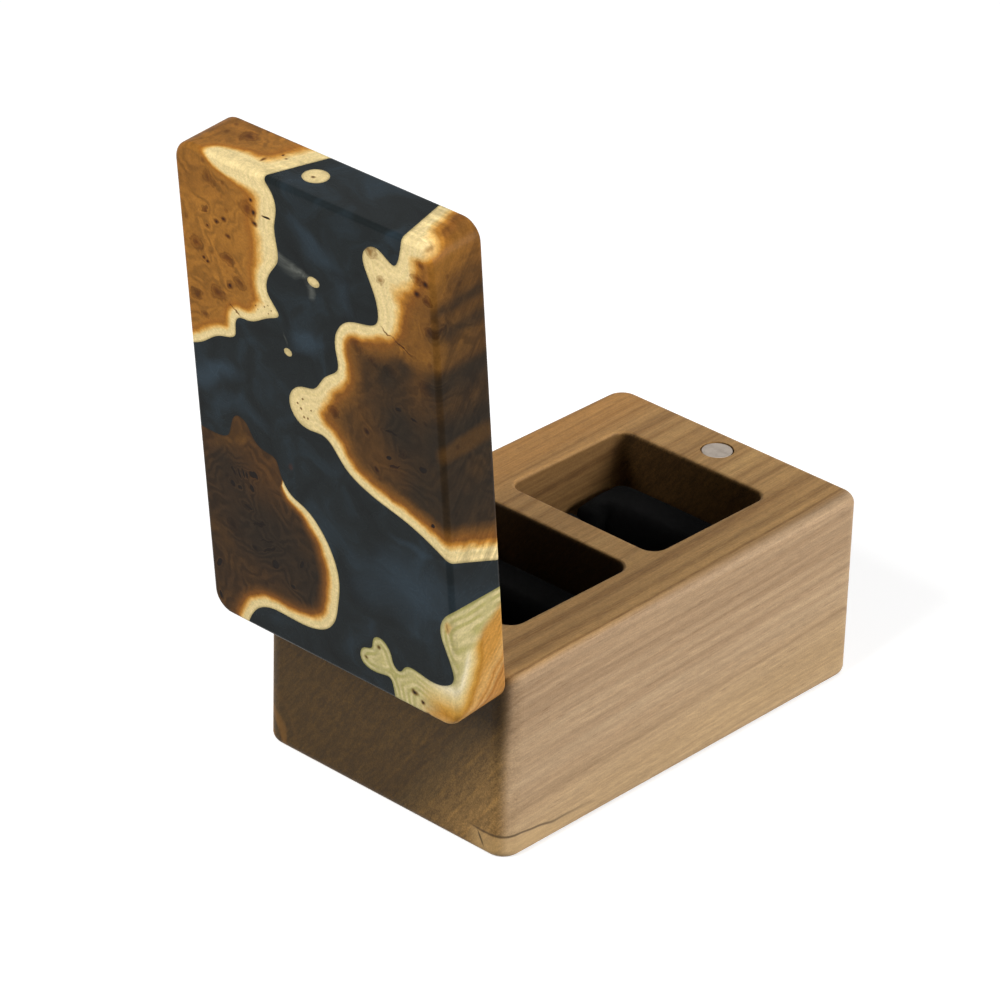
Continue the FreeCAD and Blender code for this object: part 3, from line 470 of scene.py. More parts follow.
def spread(rows, places):
    """Values given at some places, blended over all places by nearness."""
    table = np.array(rows, float)
    gap = np.linalg.norm(places[:, None, :2] - table[None, :, :2], axis=2)
    weight = 1 / (gap + SPREAD_GAP) ** SPREAD_POWER
    return (weight * table[:, 2]).sum(1) / weight.sum(1)


def tree_of(nodes):
    """A search tree of the surfaces of some nodes."""
    soup = np.concatenate([corners_of(node) for node in nodes])
    faces = np.arange(len(soup) * 3).reshape(-1, 3)
    return BVHTree.FromPolygons(soup.reshape(-1, 3).tolist(), faces.tolist())


def lid_places(points, low, high):
    """Places on the lid in millimetres: across, along and depth."""
    shut = turned(points, SHUT)
    return np.stack([high[0] - shut[:, 0], shut[:, 1] - low[1], high[2] - shut[:, 2]], 1) * PER_MM


def smooth_corners(mesh):
    """Shades a mesh of triangles smoothly, but only between faces that meet at a small angle."""
    count = len(mesh.polygons)
    normals = np.empty(count * 3)
    mesh.polygons.foreach_get("normal", normals)
    areas = np.empty(count)
    mesh.polygons.foreach_get("area", areas)
    vertex = np.empty(count * 3, dtype=int)
    mesh.loops.foreach_get("vertex_index", vertex)
    own = np.repeat(normals.reshape(-1, 3), 3, axis=0)
    weighted = own * np.repeat(areas, 3)[:, None]
    order = np.argsort(vertex, kind="stable")
    place = vertex[order]
    total = np.zeros_like(own)
    limit = math.cos(SHARP_ANGLE)

    # Corners at one point stand side by side in the order, so each shift pairs up more of them.
    shift = 0
    while shift == 0 or (place[shift:] == place[:-shift]).any():
        first, second = order[shift:], order[:len(order) - shift]
        joined = (vertex[first] == vertex[second]) & ((own[first] * own[second]).sum(1) > limit)
        first, second = first[joined], second[joined]
        total[first] += weighted[second]
        if shift:
            total[second] += weighted[first]
        shift += 1
    length = np.linalg.norm(total, axis=1, keepdims=True)
    total = np.where(length > 0, total / np.maximum(length, TINY), own)
    mesh.shade_smooth()
    mesh.normals_split_custom_set(total.tolist())


def placed(name, data):
    """A new object in the scene."""
    thing = bpy.data.objects.new(name, data)
    bpy.context.scene.collection.objects.link(thing)
    return thing


def store(mesh, name, kind, field, values):
    """Stores a value at each point of a mesh."""
    mesh.attributes.new(name, kind, "POINT").data.foreach_set(field, np.asarray(values, np.float32).ravel())


def cast_piece(node, low, high, neighbour):
    """A finely divided copy of a cast piece, with what its material reads stored at each point."""
    mesh = sliced(node, low, high)
    mesh.materials.clear()
    smooth_corners(mesh)
    points = points_of(mesh)
    places = lid_places(points, low, high)
    shore = nearest(neighbour, points)
    store(mesh, "place", "FLOAT_VECTOR", "vector", places)
    store(mesh, "shore", "FLOAT", "value", shore)
    if node in SAP_WIDTHS:
        width = spread(SAP_WIDTHS[node], places)
        bare = np.clip(1 - width / BARE_WIDTH, 0, 1) * BARE_SHIFT
        store(mesh, "sap", "FLOAT", "value", shore / width + bare)
        store(mesh, "heart", "FLOAT", "value", spread(HEART_SHARES[node], places))
    piece = placed("cast_" + node, mesh)
    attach(piece, "lid")
    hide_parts(node)
    return piece


# Eyes: one longer than this, in millimetres, has rings, and one stronger than this is a crack.
SWIRL_SIZE = 1.25
CRACK_STRENGTH = 0.8
EYE_GAIN = 1.2
EYE_FADE, CRACK_FADE, EYE_RING_FADE = (0.0, 1.15), (0.6, 1.15), (0.4, 1.6)
EYE_RINGS = 12.0
EYE_RING_SHARE, EYE_FILL_SHARE = 0.55, 0.72
EYE_STAIN = (0.34, 0.24, 0.15, 1.0)
EYE_STAINED, EYE_BLACKENED = (0.0, 0.75), (0.6, 0.95)
EYE_BLACK = paint(22, 15, 10)

# Lines of the figure: the height of their field, what eyes and edge add to it, and how close they lie.
FIELD_HEIGHT, FIELD_SWELL, FIELD_SHORE, FIELD_LINES = 3.0, 0.8, 0.1, 17.0
FIGURE_FADE, FIGURE_LIGHT = (-0.8, 0.8), 0.4

# Growth rings in the sapwood: how far they wander, rings in each millimetre, and where they fade.
GROWTH_WANDER, GROWTH_LINES, GROWTH_FADE, GROWTH_LEFT = 9.0, 5.2, (2.5, 6.0), 0.3
GROWTH_TRACE = (-0.6, 0.6)
OLIVE = (0.62, 0.66, 0.42, 1.0)

# Slanting streaks on the sides: their turn and size, the depth at which they start, and their fade.
SIDE_SLANT = math.radians(-37)
SLANT_SIZE = (8.0, 14.0, 1.3)
SLANT_DEPTHS, SLANT_FADE = (0.6, 2.0), (-0.25, 0.25)

# Pin eyes scattered in the heart: their spacing, size, and share of all places.
PIN_SCALE, PIN_FADE, PIN_CHANCE, PIN_START = 0.4, (0.08, 0.3), (0.5, 0.75), (1.2, 2.0)

# The sapwood's width wanders by this share, and pale and warm spots fade out at their rims.
SAP_WANDER = 0.4
PALE_FADE, WARM_FADE = (0.3, 1.25), (0.4, 1.15)

# The band from the edge inwards, in widths of the sapwood times this scale, and where the heart takes over.
BAND_SCALE = 0.25
HEART_START = 1.35
HEART_VARIES, GOLD_FADE, GOLD_SHARE = 0.3, (0.45, 0.8), 0.4
SHORE_FADE, SHORE_SHADE = (0.05, 0.45), 0.72
LINE_HEIGHT, EYE_HOLLOW = 0.2, 0.6
GLOSS_FADE = (0.2, 0.8)
CAST_SPECULAR = 0.05


def burl_eyes(net, node, drawn, bent):
    """How dark the eyes and cracks make a burl, and how far they push the lines of the figure out."""
    keep, swell = 1.0, 0.0
    for knot in spots(KNOTS[node]):
        strength = min(1.0, EYE_GAIN * knot.strength)
        wide = knot.length > SWIRL_SIZE
        gap = net.spot(bent if wide else drawn, knot, KNOT_DEPTH)
        fade = CRACK_FADE if knot.strength > CRACK_STRENGTH else EYE_FADE
        dark = net.step(gap, *fade, strength, 0.0)
        if wide:
            turn = net.linear(net.wave(net.times(gap, EYE_RINGS)), 0.5, 0.5)
            turn = net.times(turn, net.step(gap, *EYE_RING_FADE, EYE_RING_SHARE * strength, 0.0))
            dark = net.most(net.times(dark, EYE_FILL_SHARE), turn)
        keep = net.times(keep, net.minus(1.0, dark))
        rise = net.math("DIVIDE", strength, net.linear(gap, gap, 1.0))
        swell = net.plus(swell, rise)
    return net.minus(1.0, keep), swell


def burl_lines(net, place, shore, swell):
    """The wavy lines of a burl's heart, which run round its eyes."""
    field = net.noise(place, scale=0.09, detail=3, distortion=0.5)
    field = net.plus(net.times(field, FIELD_HEIGHT), net.times(swell, FIELD_SWELL))
    field = net.linear(shore, FIELD_SHORE, field)
    lines = net.wave(net.times(field, FIELD_LINES))
    return net.times(lines, net.vary(net.noise(place, scale=0.22)))


def growth_rings(net, place, shore):
    """Fine rings that follow the edge of a burl and fade further in."""
    growth = net.linear(net.noise(place, scale=0.12), GROWTH_WANDER, net.times(shore, GROWTH_LINES))
    growth = net.times(net.wave(growth), net.vary(net.noise(place, scale=0.3)))
    return net.times(growth, net.step(shore, *GROWTH_FADE, 1.0, GROWTH_LEFT))


def side_streaks(net, place):
    """Slanting streaks on the sides of a burl, from a little below the outer face."""
    slanted = net.mapped(place, turn=(SIDE_SLANT, 0, 0), size=SLANT_SIZE)
    streak = net.minus(net.noise(slanted, scale=1.0, detail=4, roughness=0.6), NOISE_MIDDLE)
    return net.times(streak, net.step(net.split(place)[2], *SLANT_DEPTHS))


def pin_eyes(net, drawn, sap, pins):
    """Small eyes scattered in the heart of a burl."""
    gap, chance = net.cells(drawn, PIN_SCALE)
    pin = net.times(net.step(gap, *PIN_FADE, 1.0, 0.0), net.step(chance, *PIN_CHANCE))
    return net.times(pin, net.step(sap, *PIN_START, 0.0, pins))


def burl_material(node, cream, amber, rim, brown, heart, reach, figure, rings, pins, slant):
    """Burl wood: pale sapwood along the edge, then amber, then a heart with eyes and lines round them."""
    net = Net(bpy.data.materials.new(node + " wood"))
    place = net.attribute("place", "Vector")
    shore = net.attribute("shore")
    drawn = net.warped(place, scale=0.35, amount=1.2, detail=3)
    bent = net.warped(place, scale=0.55, amount=2.4, detail=4)
    broad = net.noise(place, scale=0.1, detail=3, roughness=0.55)
    fibre = net.noise(drawn, scale=2.4, detail=5, roughness=0.65)
    wander = net.minus(net.noise(place, scale=0.45, detail=3), NOISE_MIDDLE)
    sap = net.plus(net.attribute("sap"), net.times(wander, SAP_WANDER))
    for spot in spots(PALE.get(node, [])):
        gap = net.spot(drawn, spot, PALE_DEPTH)
        sap = net.times(sap, net.step(gap, *PALE_FADE, 1.0 - spot.strength, 1.0))
    knot, swell = burl_eyes(net, node, drawn, bent)
    lines = burl_lines(net, place, shore, swell)
    growth = growth_rings(net, place, shore)
    streak = side_streaks(net, place)
    pin = pin_eyes(net, drawn, sap, pins)

    edge = net.ramp(
        net.times(sap, BAND_SCALE),
        [
            (0.0, cream[0]), (0.05, cream[1]), (0.15, cream[1]), (0.205, cream[2]),
            (0.255, amber), (0.315, rim), (0.42, brown),
        ],
    )
    tone = net.attribute("heart")
    light = net.minus(1.0, tone)
    tone = net.linear(net.vary(broad, -HEART_VARIES, HEART_VARIES), light, tone)
    core = net.mix(net.step(tone, 0.0, 1.0), brown, heart)
    golden = net.times(light, net.step(broad, *GOLD_FADE, 0.0, GOLD_SHARE))
    golden = net.most(golden, net.step(tone, 0.0, -1.0))
    core = net.mix(golden, core, amber)
    inside = net.step(sap, HEART_START, reach)
    colour = net.mix(inside, edge, core)
    figured = net.step(lines, *FIGURE_FADE, 1.0 - figure, 1.0 + FIGURE_LIGHT * figure)
    colour = net.mix(inside, colour, net.tinted(colour, figured))
    colour = net.tinted(colour, net.step(streak, *SLANT_FADE, 1.0 - slant, 1.0 + slant))
    for spot in spots(WARM.get(node, [])):
        gap = net.spot(drawn, spot, PALE_DEPTH)
        colour = net.mix(net.step(gap, *WARM_FADE, spot.strength, 0.0), colour, amber)
    trace = net.step(net.times(growth, net.minus(1.0, inside)), *GROWTH_TRACE, rings, 0.0)
    colour = net.mix(trace, colour, net.tinted(colour, OLIVE))
    if node == FLANKED:
        colour = flank_colour(net, colour, place, drawn)
    colour = net.tinted(colour, net.vary(net.noise(place, scale=0.6, detail=3), 0.92, 1.05))
    stain = net.tinted(colour, EYE_STAIN)
    colour = net.mix(net.step(knot, *EYE_STAINED), colour, stain)
    colour = net.mix(net.step(knot, *EYE_BLACKENED), colour, EYE_BLACK)
    colour = net.mix(pin, colour, stain)
    colour = net.tinted(colour, net.vary(fibre, 0.86, 1.1))
    colour = net.tinted(colour, net.step(shore, *SHORE_FADE, SHORE_SHADE, 1.0))
    height = net.minus(net.linear(lines, LINE_HEIGHT, fibre), net.times(knot, EYE_HOLLOW))
    return net.surface(
        colour, net.step(fibre, *GLOSS_FADE, 0.34, 0.46), height, strength=0.1, distance=0.0002,
        Specular_IOR_Level=CAST_SPECULAR,
    )


def flank_colour(net, colour, place, drawn):
    """Amber stripes on the side of the corner burl, past a pale oval with a dark rim."""
    oval = net.spot(drawn, FLANK_OVAL)
    across, along, depth = net.split(drawn)
    started = net.step(net.linear(depth, FLANK_TILT, along), *FLANK_START)
    started = net.times(started, net.step(across, *FLANK_EDGE))
    wander = net.linear(net.noise(place, scale=0.18, detail=3), FLANK_WANDER, -FLANK_WANDER / 2)
    run = net.plus(net.plus(along, depth), wander)
    run = net.math("DIVIDE", net.minus(run, STRIPES_START), STRIPES_LENGTH)
    stripes = net.ramp(
        run,
        [
            (0.0, paint(200, 144, 66)), (0.3, paint(212, 164, 96)), (0.43, paint(188, 130, 62)),
            (0.52, paint(210, 162, 96)), (0.62, paint(172, 114, 52)), (0.72, paint(192, 136, 70)),
            (1.0, paint(184, 126, 58)),
        ],
    )
    lines = net.step(net.wave(net.times(run, FLANK_LINES)), -0.9, 0.9, 0.8, 1.05)
    stripes = net.mix(net.vary(net.noise(place, scale=0.4)), stripes, net.tinted(stripes, lines))
    rim = net.ramp(
        net.times(oval, 0.5),
        [
            (0.2, paint(196, 184, 130)), (0.29, paint(234, 220, 182)), (0.36, paint(226, 202, 142)),
            (0.45, paint(204, 154, 70)), (0.5, paint(178, 124, 44)),
        ],
    )
    colour = net.mix(net.times(started, net.step(oval, *FLANK_RIM)), colour, rim)
    return net.mix(net.times(started, net.step(oval, *FLANK_PAST)), colour, stripes)


def resin_material():
    """Dark blue-black cast resin with pearl clouds in it and a little smoke beside the burl."""
    net = Net(bpy.data.materials.new("cast resin"))
    place = net.attribute("place", "Vector")
    flow = net.warped(net.warped(place, scale=0.05, amount=14), scale=0.14, amount=5, detail=3)
    swirl = net.noise(flow, scale=0.11, detail=5, roughness=0.55, distortion=0.8)
    fine = net.noise(flow, scale=0.5, detail=4, roughness=0.6, distortion=1.5)
    glow = net.patches(flow, CLOUDS, CLOUD_DEPTH, CLOUD_FADE)
    glow = net.times(glow, net.step(fine, 0.25, 0.75, 0.75, 1.0))
    smoke = net.patches(flow, SMOKE, SMOKE_DEPTH, SMOKE_FADE)
    smoke = net.times(smoke, net.vary(fine, 0.3, 1.0))
    rust = net.patches(flow, RUST, RUST_DEPTH, RUST_FADE)
    colour = net.ramp(
        swirl,
        [
            (0.3, paint(19, 22, 22)), (0.5, paint(26, 31, 32)),
            (0.62, paint(32, 40, 44)), (0.75, paint(37, 48, 55)),
        ],
    )
    colour = net.mix(glow, colour, paint(49, 63, 73))
    colour = net.mix(smoke, colour, paint(120, 122, 114))
    colour = net.mix(rust, colour, paint(72, 40, 28))
    return net.surface(
        colour, net.step(fine, *GLOSS_FADE, 0.22, 0.3), fine, strength=0.03, distance=0.0002,
        Specular_IOR_Level=CAST_SPECULAR,
    )


# The base wood's rings: the directions across them and along them on the end faces, and how they wave.
GRAIN_NORMAL = (0.8, 0.033, 0.6)
GRAIN_SLOPE = (-0.6, 0.0, 0.8)
RING_WAVE, RING_WAVE_HEIGHT = ((0.03, 0.009, 0.03), 3), 2.0

# Noise in the base wood: scale across the rings, along the grain and along the rings, detail, roughness.
BROAD = ((0.2, 0.004, 0.015), 2)
MIDDLE = ((1.0, 0.012, 0.06), 4, 0.6)
FIBRE = ((4.5, 0.3, 4.0), 4, 0.7)
DASH = ((4.5, 0.25, 3.6), 2)
THREAD = ((1.7, 0.008, 0.9), 3, 0.6)
MOTTLE = ((1.5, 0.3, 0.4), 4, 0.7)

# The same along the box's own axes.
FLECK = ((0.9, 0.35, 1.4), 4, 0.6)

# Darker lines in the base wood: place across the rings, half width, strength.
STREAKS = [
    (42.0, 0.3, 0.3), (38.5, 0.3, 0.35), (33.8, 0.5, 0.55), (31.0, 0.4, 0.4), (27.5, 0.3, 0.3),
    (24.0, 0.3, 0.25), (17.5, 0.35, 0.3), (11.0, 0.4, 0.4), (6.2, 0.8, 0.5), (2.7, 0.6, 0.5),
    (0.6, 0.25, 0.65), (-6.3, 0.3, 0.2), (-11.1, 0.3, 0.28), (-16.7, 0.3, 0.25),
]

# Pale lines across the end grain, in the same terms.
PALE_LINES = [(-13.0, 0.22, 0.5), (-9.4, 0.2, 0.5), (-5.2, 0.25, 0.6), (3.4, 0.2, 0.35), (12.0, 0.2, 0.3)]
PALE_TINT = (1.5, 1.45, 1.3, 1.0)

# A warm swirl in a lower corner of the hinge end: how many rings, and how far the first is shifted.
SWIRL = Spot(30.0, 0.0, 9.0, 6.0, strength=0.7, middle=0.5, height=12.0)
SWIRL_RINGS, SWIRL_SHIFT = 17.5, -9.3
SWIRL_LINE, SWIRL_FADE = (-0.7, 0.9), (0.3, 1.1)
SWIRL_ENDS = (0.0, 40.0)

# Places across the rings where the wood is paler or warmer than the rest.
PALE_RINGS, PALE_SHARE = (-13.0, -22.0), 0.5
WARM_RINGS, WARM_SHARE = (34.0, 42.0), 0.5
TOP_RINGS = (-1.2, 0.8)

# The top is warmer than the near side, and a little darker as painted shade; the milled pockets are darkened
# as painted shade, most on their end-grain walls.
TOP_WARMTH_AND_SHADE_TINT = (1.02, 0.88, 0.58, 1.0)
POCKET_SHADE_TINT = (0.43, 0.4, 0.36, 1.0)
POCKET_END_SHADE_TINT = (0.28, 0.26, 0.22, 1.0)
POCKET_ACROSS, POCKET_ALONG = (18.6, 18.2), (36.0, 35.2)
POCKET_TOP, POCKET_FLOOR = (38.0, 37.0), (1.0, 2.0)

# The end faces are darker than the sides: their own colour, and tints from low to high and at the front. The
# milder tint is the end grain's own darkness; the deep tint high on the hinge end is a painted shadow of the
# lid, which the front end does not get.
END_FACING = (0.5, 0.95)
END_COLOUR, END_SHARE = paint(174, 146, 108), 0.45
END_SHADOW_RINGS, END_SHADOW_ALONG = (-20.0, 2.0), (-40.0, 20.0)
END_LOW_TINT = (0.6, 0.5, 0.3, 1.0)
END_LID_SHADOW_TINT = (0.13, 0.112, 0.063, 1.0)
END_FRONT_TINT = (0.5, 0.43, 0.3, 1.0)

# A dark crack low on one corner: height at the end face, rise along the box, and where it fades out.
CRACK_HEIGHT = 5.1
CRACK_RISE = 0.094
CRACK_END = 47.75
CRACK_WOBBLE = 2.0
CRACK_ACROSS, CRACK_ALONG = (-24.0, -20.5), (18.0, 42.0)
CRACK_EDGE, CRACK_DARK = (0.05, 0.4), 0.8
UNDER_EDGE, UNDER_SHARE = (-0.1, -0.5), 0.35

# A short branch of the crack on the end face.
BRANCH_PLACE, BRANCH_SIZE = (-24.3, 47.75, 3.2), (2.1, 3.0, 0.3)
BRANCH_TURN = math.radians(-61)
BRANCH_FADE = (0.4, 1.1)


def long_grain(net, place, ring, grain, fibre, grit):
    """The colour of the base wood's sides and top, and how strong its dark specks are."""
    dash = net.stretched(grain, *DASH)
    tone = net.linear(
        net.stretched(grain, *MIDDLE), 0.5, net.times(net.stretched(grain, *BROAD), 0.5),
    )
    colour = net.ramp(
        tone,
        [
            (0.32, paint(152, 122, 90)), (0.45, paint(170, 140, 107)), (0.54, paint(180, 150, 116)),
            (0.68, paint(190, 161, 126)),
        ],
    )
    pale = net.times(net.step(ring, *PALE_RINGS), PALE_SHARE)
    colour = net.mix(pale, colour, paint(198, 166, 120))
    colour = net.mix(net.step(ring, *WARM_RINGS, 0.0, WARM_SHARE), colour, paint(170, 124, 74))
    streak = net.times(net.lines(ring, STREAKS), net.step(dash, 0.3, 0.6, 0.4, 1.0))
    colour = net.mix(streak, colour, paint(112, 82, 54))
    colour = net.tinted(colour, net.step(fibre, 0.25, 0.75, 0.86, 1.1))
    colour = net.tinted(colour, net.vary(net.stretched(place, *FLECK), 0.94, 1.05))
    colour = net.tinted(colour, net.vary(net.stretched(grain, *THREAD), 0.9, 1.08))
    colour = net.tinted(colour, net.vary(grit, 0.9, 1.08))
    speck = net.step(dash, 0.62, 0.75, 0.0, 0.4)
    colour = net.mix(speck, colour, paint(110, 80, 52))
    # Partly painted shade: past the near side's top edge the wood is tinted warmer and darker than the near
    # side.
    return net.mix(net.step(ring, *TOP_RINGS), colour, net.tinted(colour, TOP_WARMTH_AND_SHADE_TINT)), speck


def end_colour(net, colour, place, ring, grain, grit):
    """The colour of the base wood's end faces, with a painted shadow of the lid on the hinge end and the
    swirl in one corner.
    """
    along = net.split(place)[1]
    ends = net.mix(END_SHARE, colour, END_COLOUR)
    ends = net.tinted(ends, net.vary(net.stretched(grain, *MOTTLE), 0.7, 1.3))
    ends = net.tinted(ends, net.vary(grit, 0.8, 1.2))
    # Painted shadow: the hinge end runs from a lighter end-grain tint low down to a deep tint high up, under
    # the lid; the front end keeps a plain end-grain tint.
    shade = net.mix(net.step(ring, *END_SHADOW_RINGS), END_LOW_TINT, END_LID_SHADOW_TINT)
    shade = net.mix(net.step(along, *END_SHADOW_ALONG), END_FRONT_TINT, shade)
    ends = net.tinted(ends, shade)
    ends = net.mix(net.lines(ring, PALE_LINES), ends, net.tinted(ends, PALE_TINT))
    flat = net.warped(net.vector("MULTIPLY", place, (1.0, 0.0, 1.0)), scale=0.2, amount=3.0, detail=3)
    swirl = net.spot(flat, SWIRL)
    curl = net.wave(net.linear(swirl, SWIRL_RINGS, SWIRL_SHIFT))
    curl = net.step(curl, *SWIRL_LINE, 0.0, SWIRL.strength)
    curl = net.times(curl, net.step(swirl, *SWIRL_FADE, 1.0, 0.0))
    curl = net.times(curl, net.step(along, *SWIRL_ENDS))
    return net.mix(curl, ends, paint(132, 92, 44))


def cracked(net, colour, place):
    """The crack in the corner of the base, with paler wood under it and a branch on the end face."""
    across, along, up = net.split(place)
    wobble = net.times(net.minus(net.noise(place, scale=0.12, detail=1), NOISE_MIDDLE), CRACK_WOBBLE)
    height = net.linear(net.minus(along, CRACK_END), CRACK_RISE, CRACK_HEIGHT)
    gap = net.minus(net.minus(up, height), wobble)
    near = net.times(net.step(across, *CRACK_ACROSS, 1.0, 0.0), net.step(along, *CRACK_ALONG))
    crack = net.times(net.step(net.size(gap), *CRACK_EDGE, CRACK_DARK, 0.0), near)
    under = net.times(net.step(gap, *UNDER_EDGE, 0.0, UNDER_SHARE), near)
    colour = net.mix(under, colour, paint(206, 172, 120))
    colour = net.mix(crack, colour, paint(70, 54, 36))
    branch = net.mapped(place, place=BRANCH_PLACE, turn=(0, BRANCH_TURN, 0), size=BRANCH_SIZE)
    branch = net.step(net.vector("LENGTH", branch), *BRANCH_FADE, CRACK_DARK, 0.0)
    return net.mix(branch, colour, paint(60, 46, 30))


def base_wood_material():
    """Light brown straight-grained wood, the grain along the box, its rings slanting on the end faces."""
    net = Net(bpy.data.materials.new("base wood"))
    place = net.millimetres()
    across, along, up = net.split(place)
    wave = net.times(net.minus(net.stretched(place, *RING_WAVE), NOISE_MIDDLE), RING_WAVE_HEIGHT)
    ring = net.plus(net.vector("DOT_PRODUCT", place, GRAIN_NORMAL), wave)
    grain = net.joined(ring, along, net.vector("DOT_PRODUCT", place, GRAIN_SLOPE))
    fibre = net.stretched(grain, *FIBRE)
    grit = net.noise(place, scale=3.2, roughness=0.6)
    colour, speck = long_grain(net, place, ring, grain, fibre, grit)
    facing = net.split(net.add("ShaderNodeNewGeometry").outputs["Normal"])[1]
    end_grain = net.step(net.size(facing), *END_FACING)
    colour = net.mix(end_grain, colour, end_colour(net, colour, place, ring, grain, grit))
    # Painted shade in the milled pockets: their walls and floor are darkened, the end-grain walls most.
    pocket_mask = net.times(net.step(net.size(across), *POCKET_ACROSS), net.step(up, *POCKET_TOP))
    pocket_mask = net.times(pocket_mask, net.step(up, *POCKET_FLOOR))
    pocket_mask = net.times(pocket_mask, net.step(net.size(along), *POCKET_ALONG))
    pocket_shade_tint = net.mix(end_grain, POCKET_SHADE_TINT, POCKET_END_SHADE_TINT)
    colour = net.mix(pocket_mask, colour, net.tinted(colour, pocket_shade_tint))
    colour = cracked(net, colour, place)
    height = net.minus(fibre, net.times(speck, 0.8))
    return net.surface(
        colour, net.step(fibre, *GLOSS_FADE, 0.5, 0.66), height, strength=0.16, distance=0.0002,
        Specular_IOR_Level=0.18,
    )


def velvet_material():
    """Black velvet, painted darker still as shade in the pockets: a short pile that catches the light at its
    edges.
    """
    net = Net(bpy.data.materials.new("black velvet"))
    place = net.millimetres()
    pile = net.noise(place, scale=4.0, detail=3, roughness=0.75)
    brushed = net.noise(place, scale=0.25, detail=3)
    # The pile's colours are darker than the cloth's own black, as painted shade of the deep pockets it
    # lines.
    colour = net.ramp(
        net.linear(pile, 0.5, net.times(brushed, 0.5)),
        [(0.3, paint(2, 2, 2)), (0.55, paint(6, 6, 6)), (0.75, paint(14, 13, 13))],
    )
    return net.surface(
        colour, net.step(pile, *GLOSS_FADE, 0.85, 1.0), pile, strength=1.0, distance=0.0005,
        Specular_IOR_Level=0.05, Sheen_Weight=0.03, Sheen_Roughness=0.5,
    )


SCRATCH = (9.0, 0.5, 2.0)
SCRATCH_SHARE, PATCH_SHARE = 0.2, 0.8
METAL_PATCH = (0.35, 0.7)
METAL_ROUGHNESS = (0.3, 0.45)


def metal_material(name, light, dark):
    """A rubbed metal with fine scratches and slightly dull patches."""
    net = Net(bpy.data.materials.new(name))
    place = net.millimetres()
    patch = net.noise(place, scale=0.5, detail=4)
    scratch = net.stretched(net.warped(place, scale=0.3, amount=1.0), SCRATCH, detail=3)
    colour = net.mix(net.step(patch, *METAL_PATCH), light, dark)
    dull = net.linear(scratch, SCRATCH_SHARE, net.times(patch, PATCH_SHARE))
    return net.surface(
        colour, net.vary(dull, *METAL_ROUGHNESS), scratch, strength=0.02, distance=0.00005, Metallic=1.0,
    )


def dress(node, material):
    """Gives a CAD node that stays a material."""
    slots = frame["nodes"][node].data.materials
    slots.clear()
    slots.append(material)


# The soft pieces, in millimetres: the pads start a little small, and no point moves further than the cap.
PADS = ["front_ring_pad_front", "front_ring_pad_back", "rear_ring_pad_front", "rear_ring_pad_back"]
LINERS = ["front_pocket_liner", "rear_pocket_liner"]
PAD_START, PAD_VOXEL, PAD_CAP, PAD_FILL = 0.94, 0.8, 0.5, 0.75
LINER_START, LINER_VOXEL, LINER_FILL = 1.0, 0.7, 0.4
SMOOTH_ROUNDS = 4

# The cloth simulation works on a copy this many times as large.
SIM_SCALE = 25.0
SIM_PRESSURE = 4.0
SIM_FRAMES = 20


def soft_form(node, voxel, start):
    """A node's shape about its own middle, enlarged for the simulation, remeshed, and drawn in a little."""
    low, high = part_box(node)
    soup = (corners_of(node) - np.array((low + high) / 2)) * SIM_SCALE * start
    faces = np.arange(len(soup) * 3).reshape(-1, 3)
    mesh = bpy.data.meshes.new("soft")
    mesh.from_pydata(soup.reshape(-1, 3).tolist(), [], faces.tolist())
    form = placed("soft", mesh)
    remesh = form.modifiers.new("remesh", "REMESH")
    remesh.mode = "VOXEL"
    remesh.voxel_size = voxel * MM * SIM_SCALE
    smooth = form.modifiers.new("smooth", "SMOOTH")
    smooth.iterations = SMOOTH_ROUNDS
    freeze(form)
    return form


def freeze(piece):
    """Applies a piece's modifiers to its mesh."""
    bpy.context.view_layer.update()
    shaped = bpy.data.meshes.new_from_object(piece.evaluated_get(bpy.context.evaluated_depsgraph_get()))
    piece.modifiers.clear()
    piece.data = shaped


def inflate(form):
    """Blows a soft form up with the cloth simulation and caps how far a point may move."""
    before = points_of(form.data)
    cloth = form.modifiers.new("cloth", "CLOTH")
    cloth.settings.use_pressure = True
    cloth.settings.uniform_pressure_force = SIM_PRESSURE
    cloth.settings.effector_weights.gravity = 0.0
    for step in range(1, SIM_FRAMES + 1):
        bpy.context.scene.frame_set(step)
    freeze(form)
    bpy.context.scene.frame_set(1)
    move = points_of(form.data) - before
    reach = np.linalg.norm(move, axis=1, keepdims=True)
    cap = PAD_CAP * MM * SIM_SCALE
    move *= np.minimum(1.0, cap / np.maximum(reach, TINY))
    form.data.vertices.foreach_set("co", (before + move).ravel())


def settle(form, nodes, material):
    """Puts a copy of a soft form in the place of each node, inside the node's box, and removes the form."""
    for node in nodes:
        low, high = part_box(node)
        middle = np.array((low + high) / 2)
        half = np.array((high - low) / 2)
        turn = (-1, -1, 1) if node.endswith("_back") else (1, 1, 1)
        piece = form.copy()
        piece.data = form.data.copy()
        bpy.context.scene.collection.objects.link(piece)
        points = np.clip(points_of(piece.data) / SIM_SCALE * turn, -half, half) + middle
        piece.data.vertices.foreach_set("co", points.ravel())
        piece.name = "velvet_" + node
        piece.data.name = "velvet_" + node
        piece.data.materials.clear()
        piece.data.materials.append(material)
        piece.data.shade_smooth()
        finer = piece.modifiers.new("finer", "SUBSURF")
        finer.levels = 1
        finer.render_levels = 1
        freeze(piece)
        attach(piece, "base")
        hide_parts(node)
    bpy.data.objects.remove(form)


# Camera, worked out from the edges of the box in the photograph.
CAMERA_PLACE = Vector((-0.527046, 0.596660, 0.481189))
CAMERA_RIGHT = Vector((-0.72891, -0.68411, 0.02612))
CAMERA_UP = Vector((0.34701, -0.33631, 0.87549))
CAMERA_SENSOR = 36.0
CAMERA_LENS = 180.62
CAMERA_REACH = 20.0

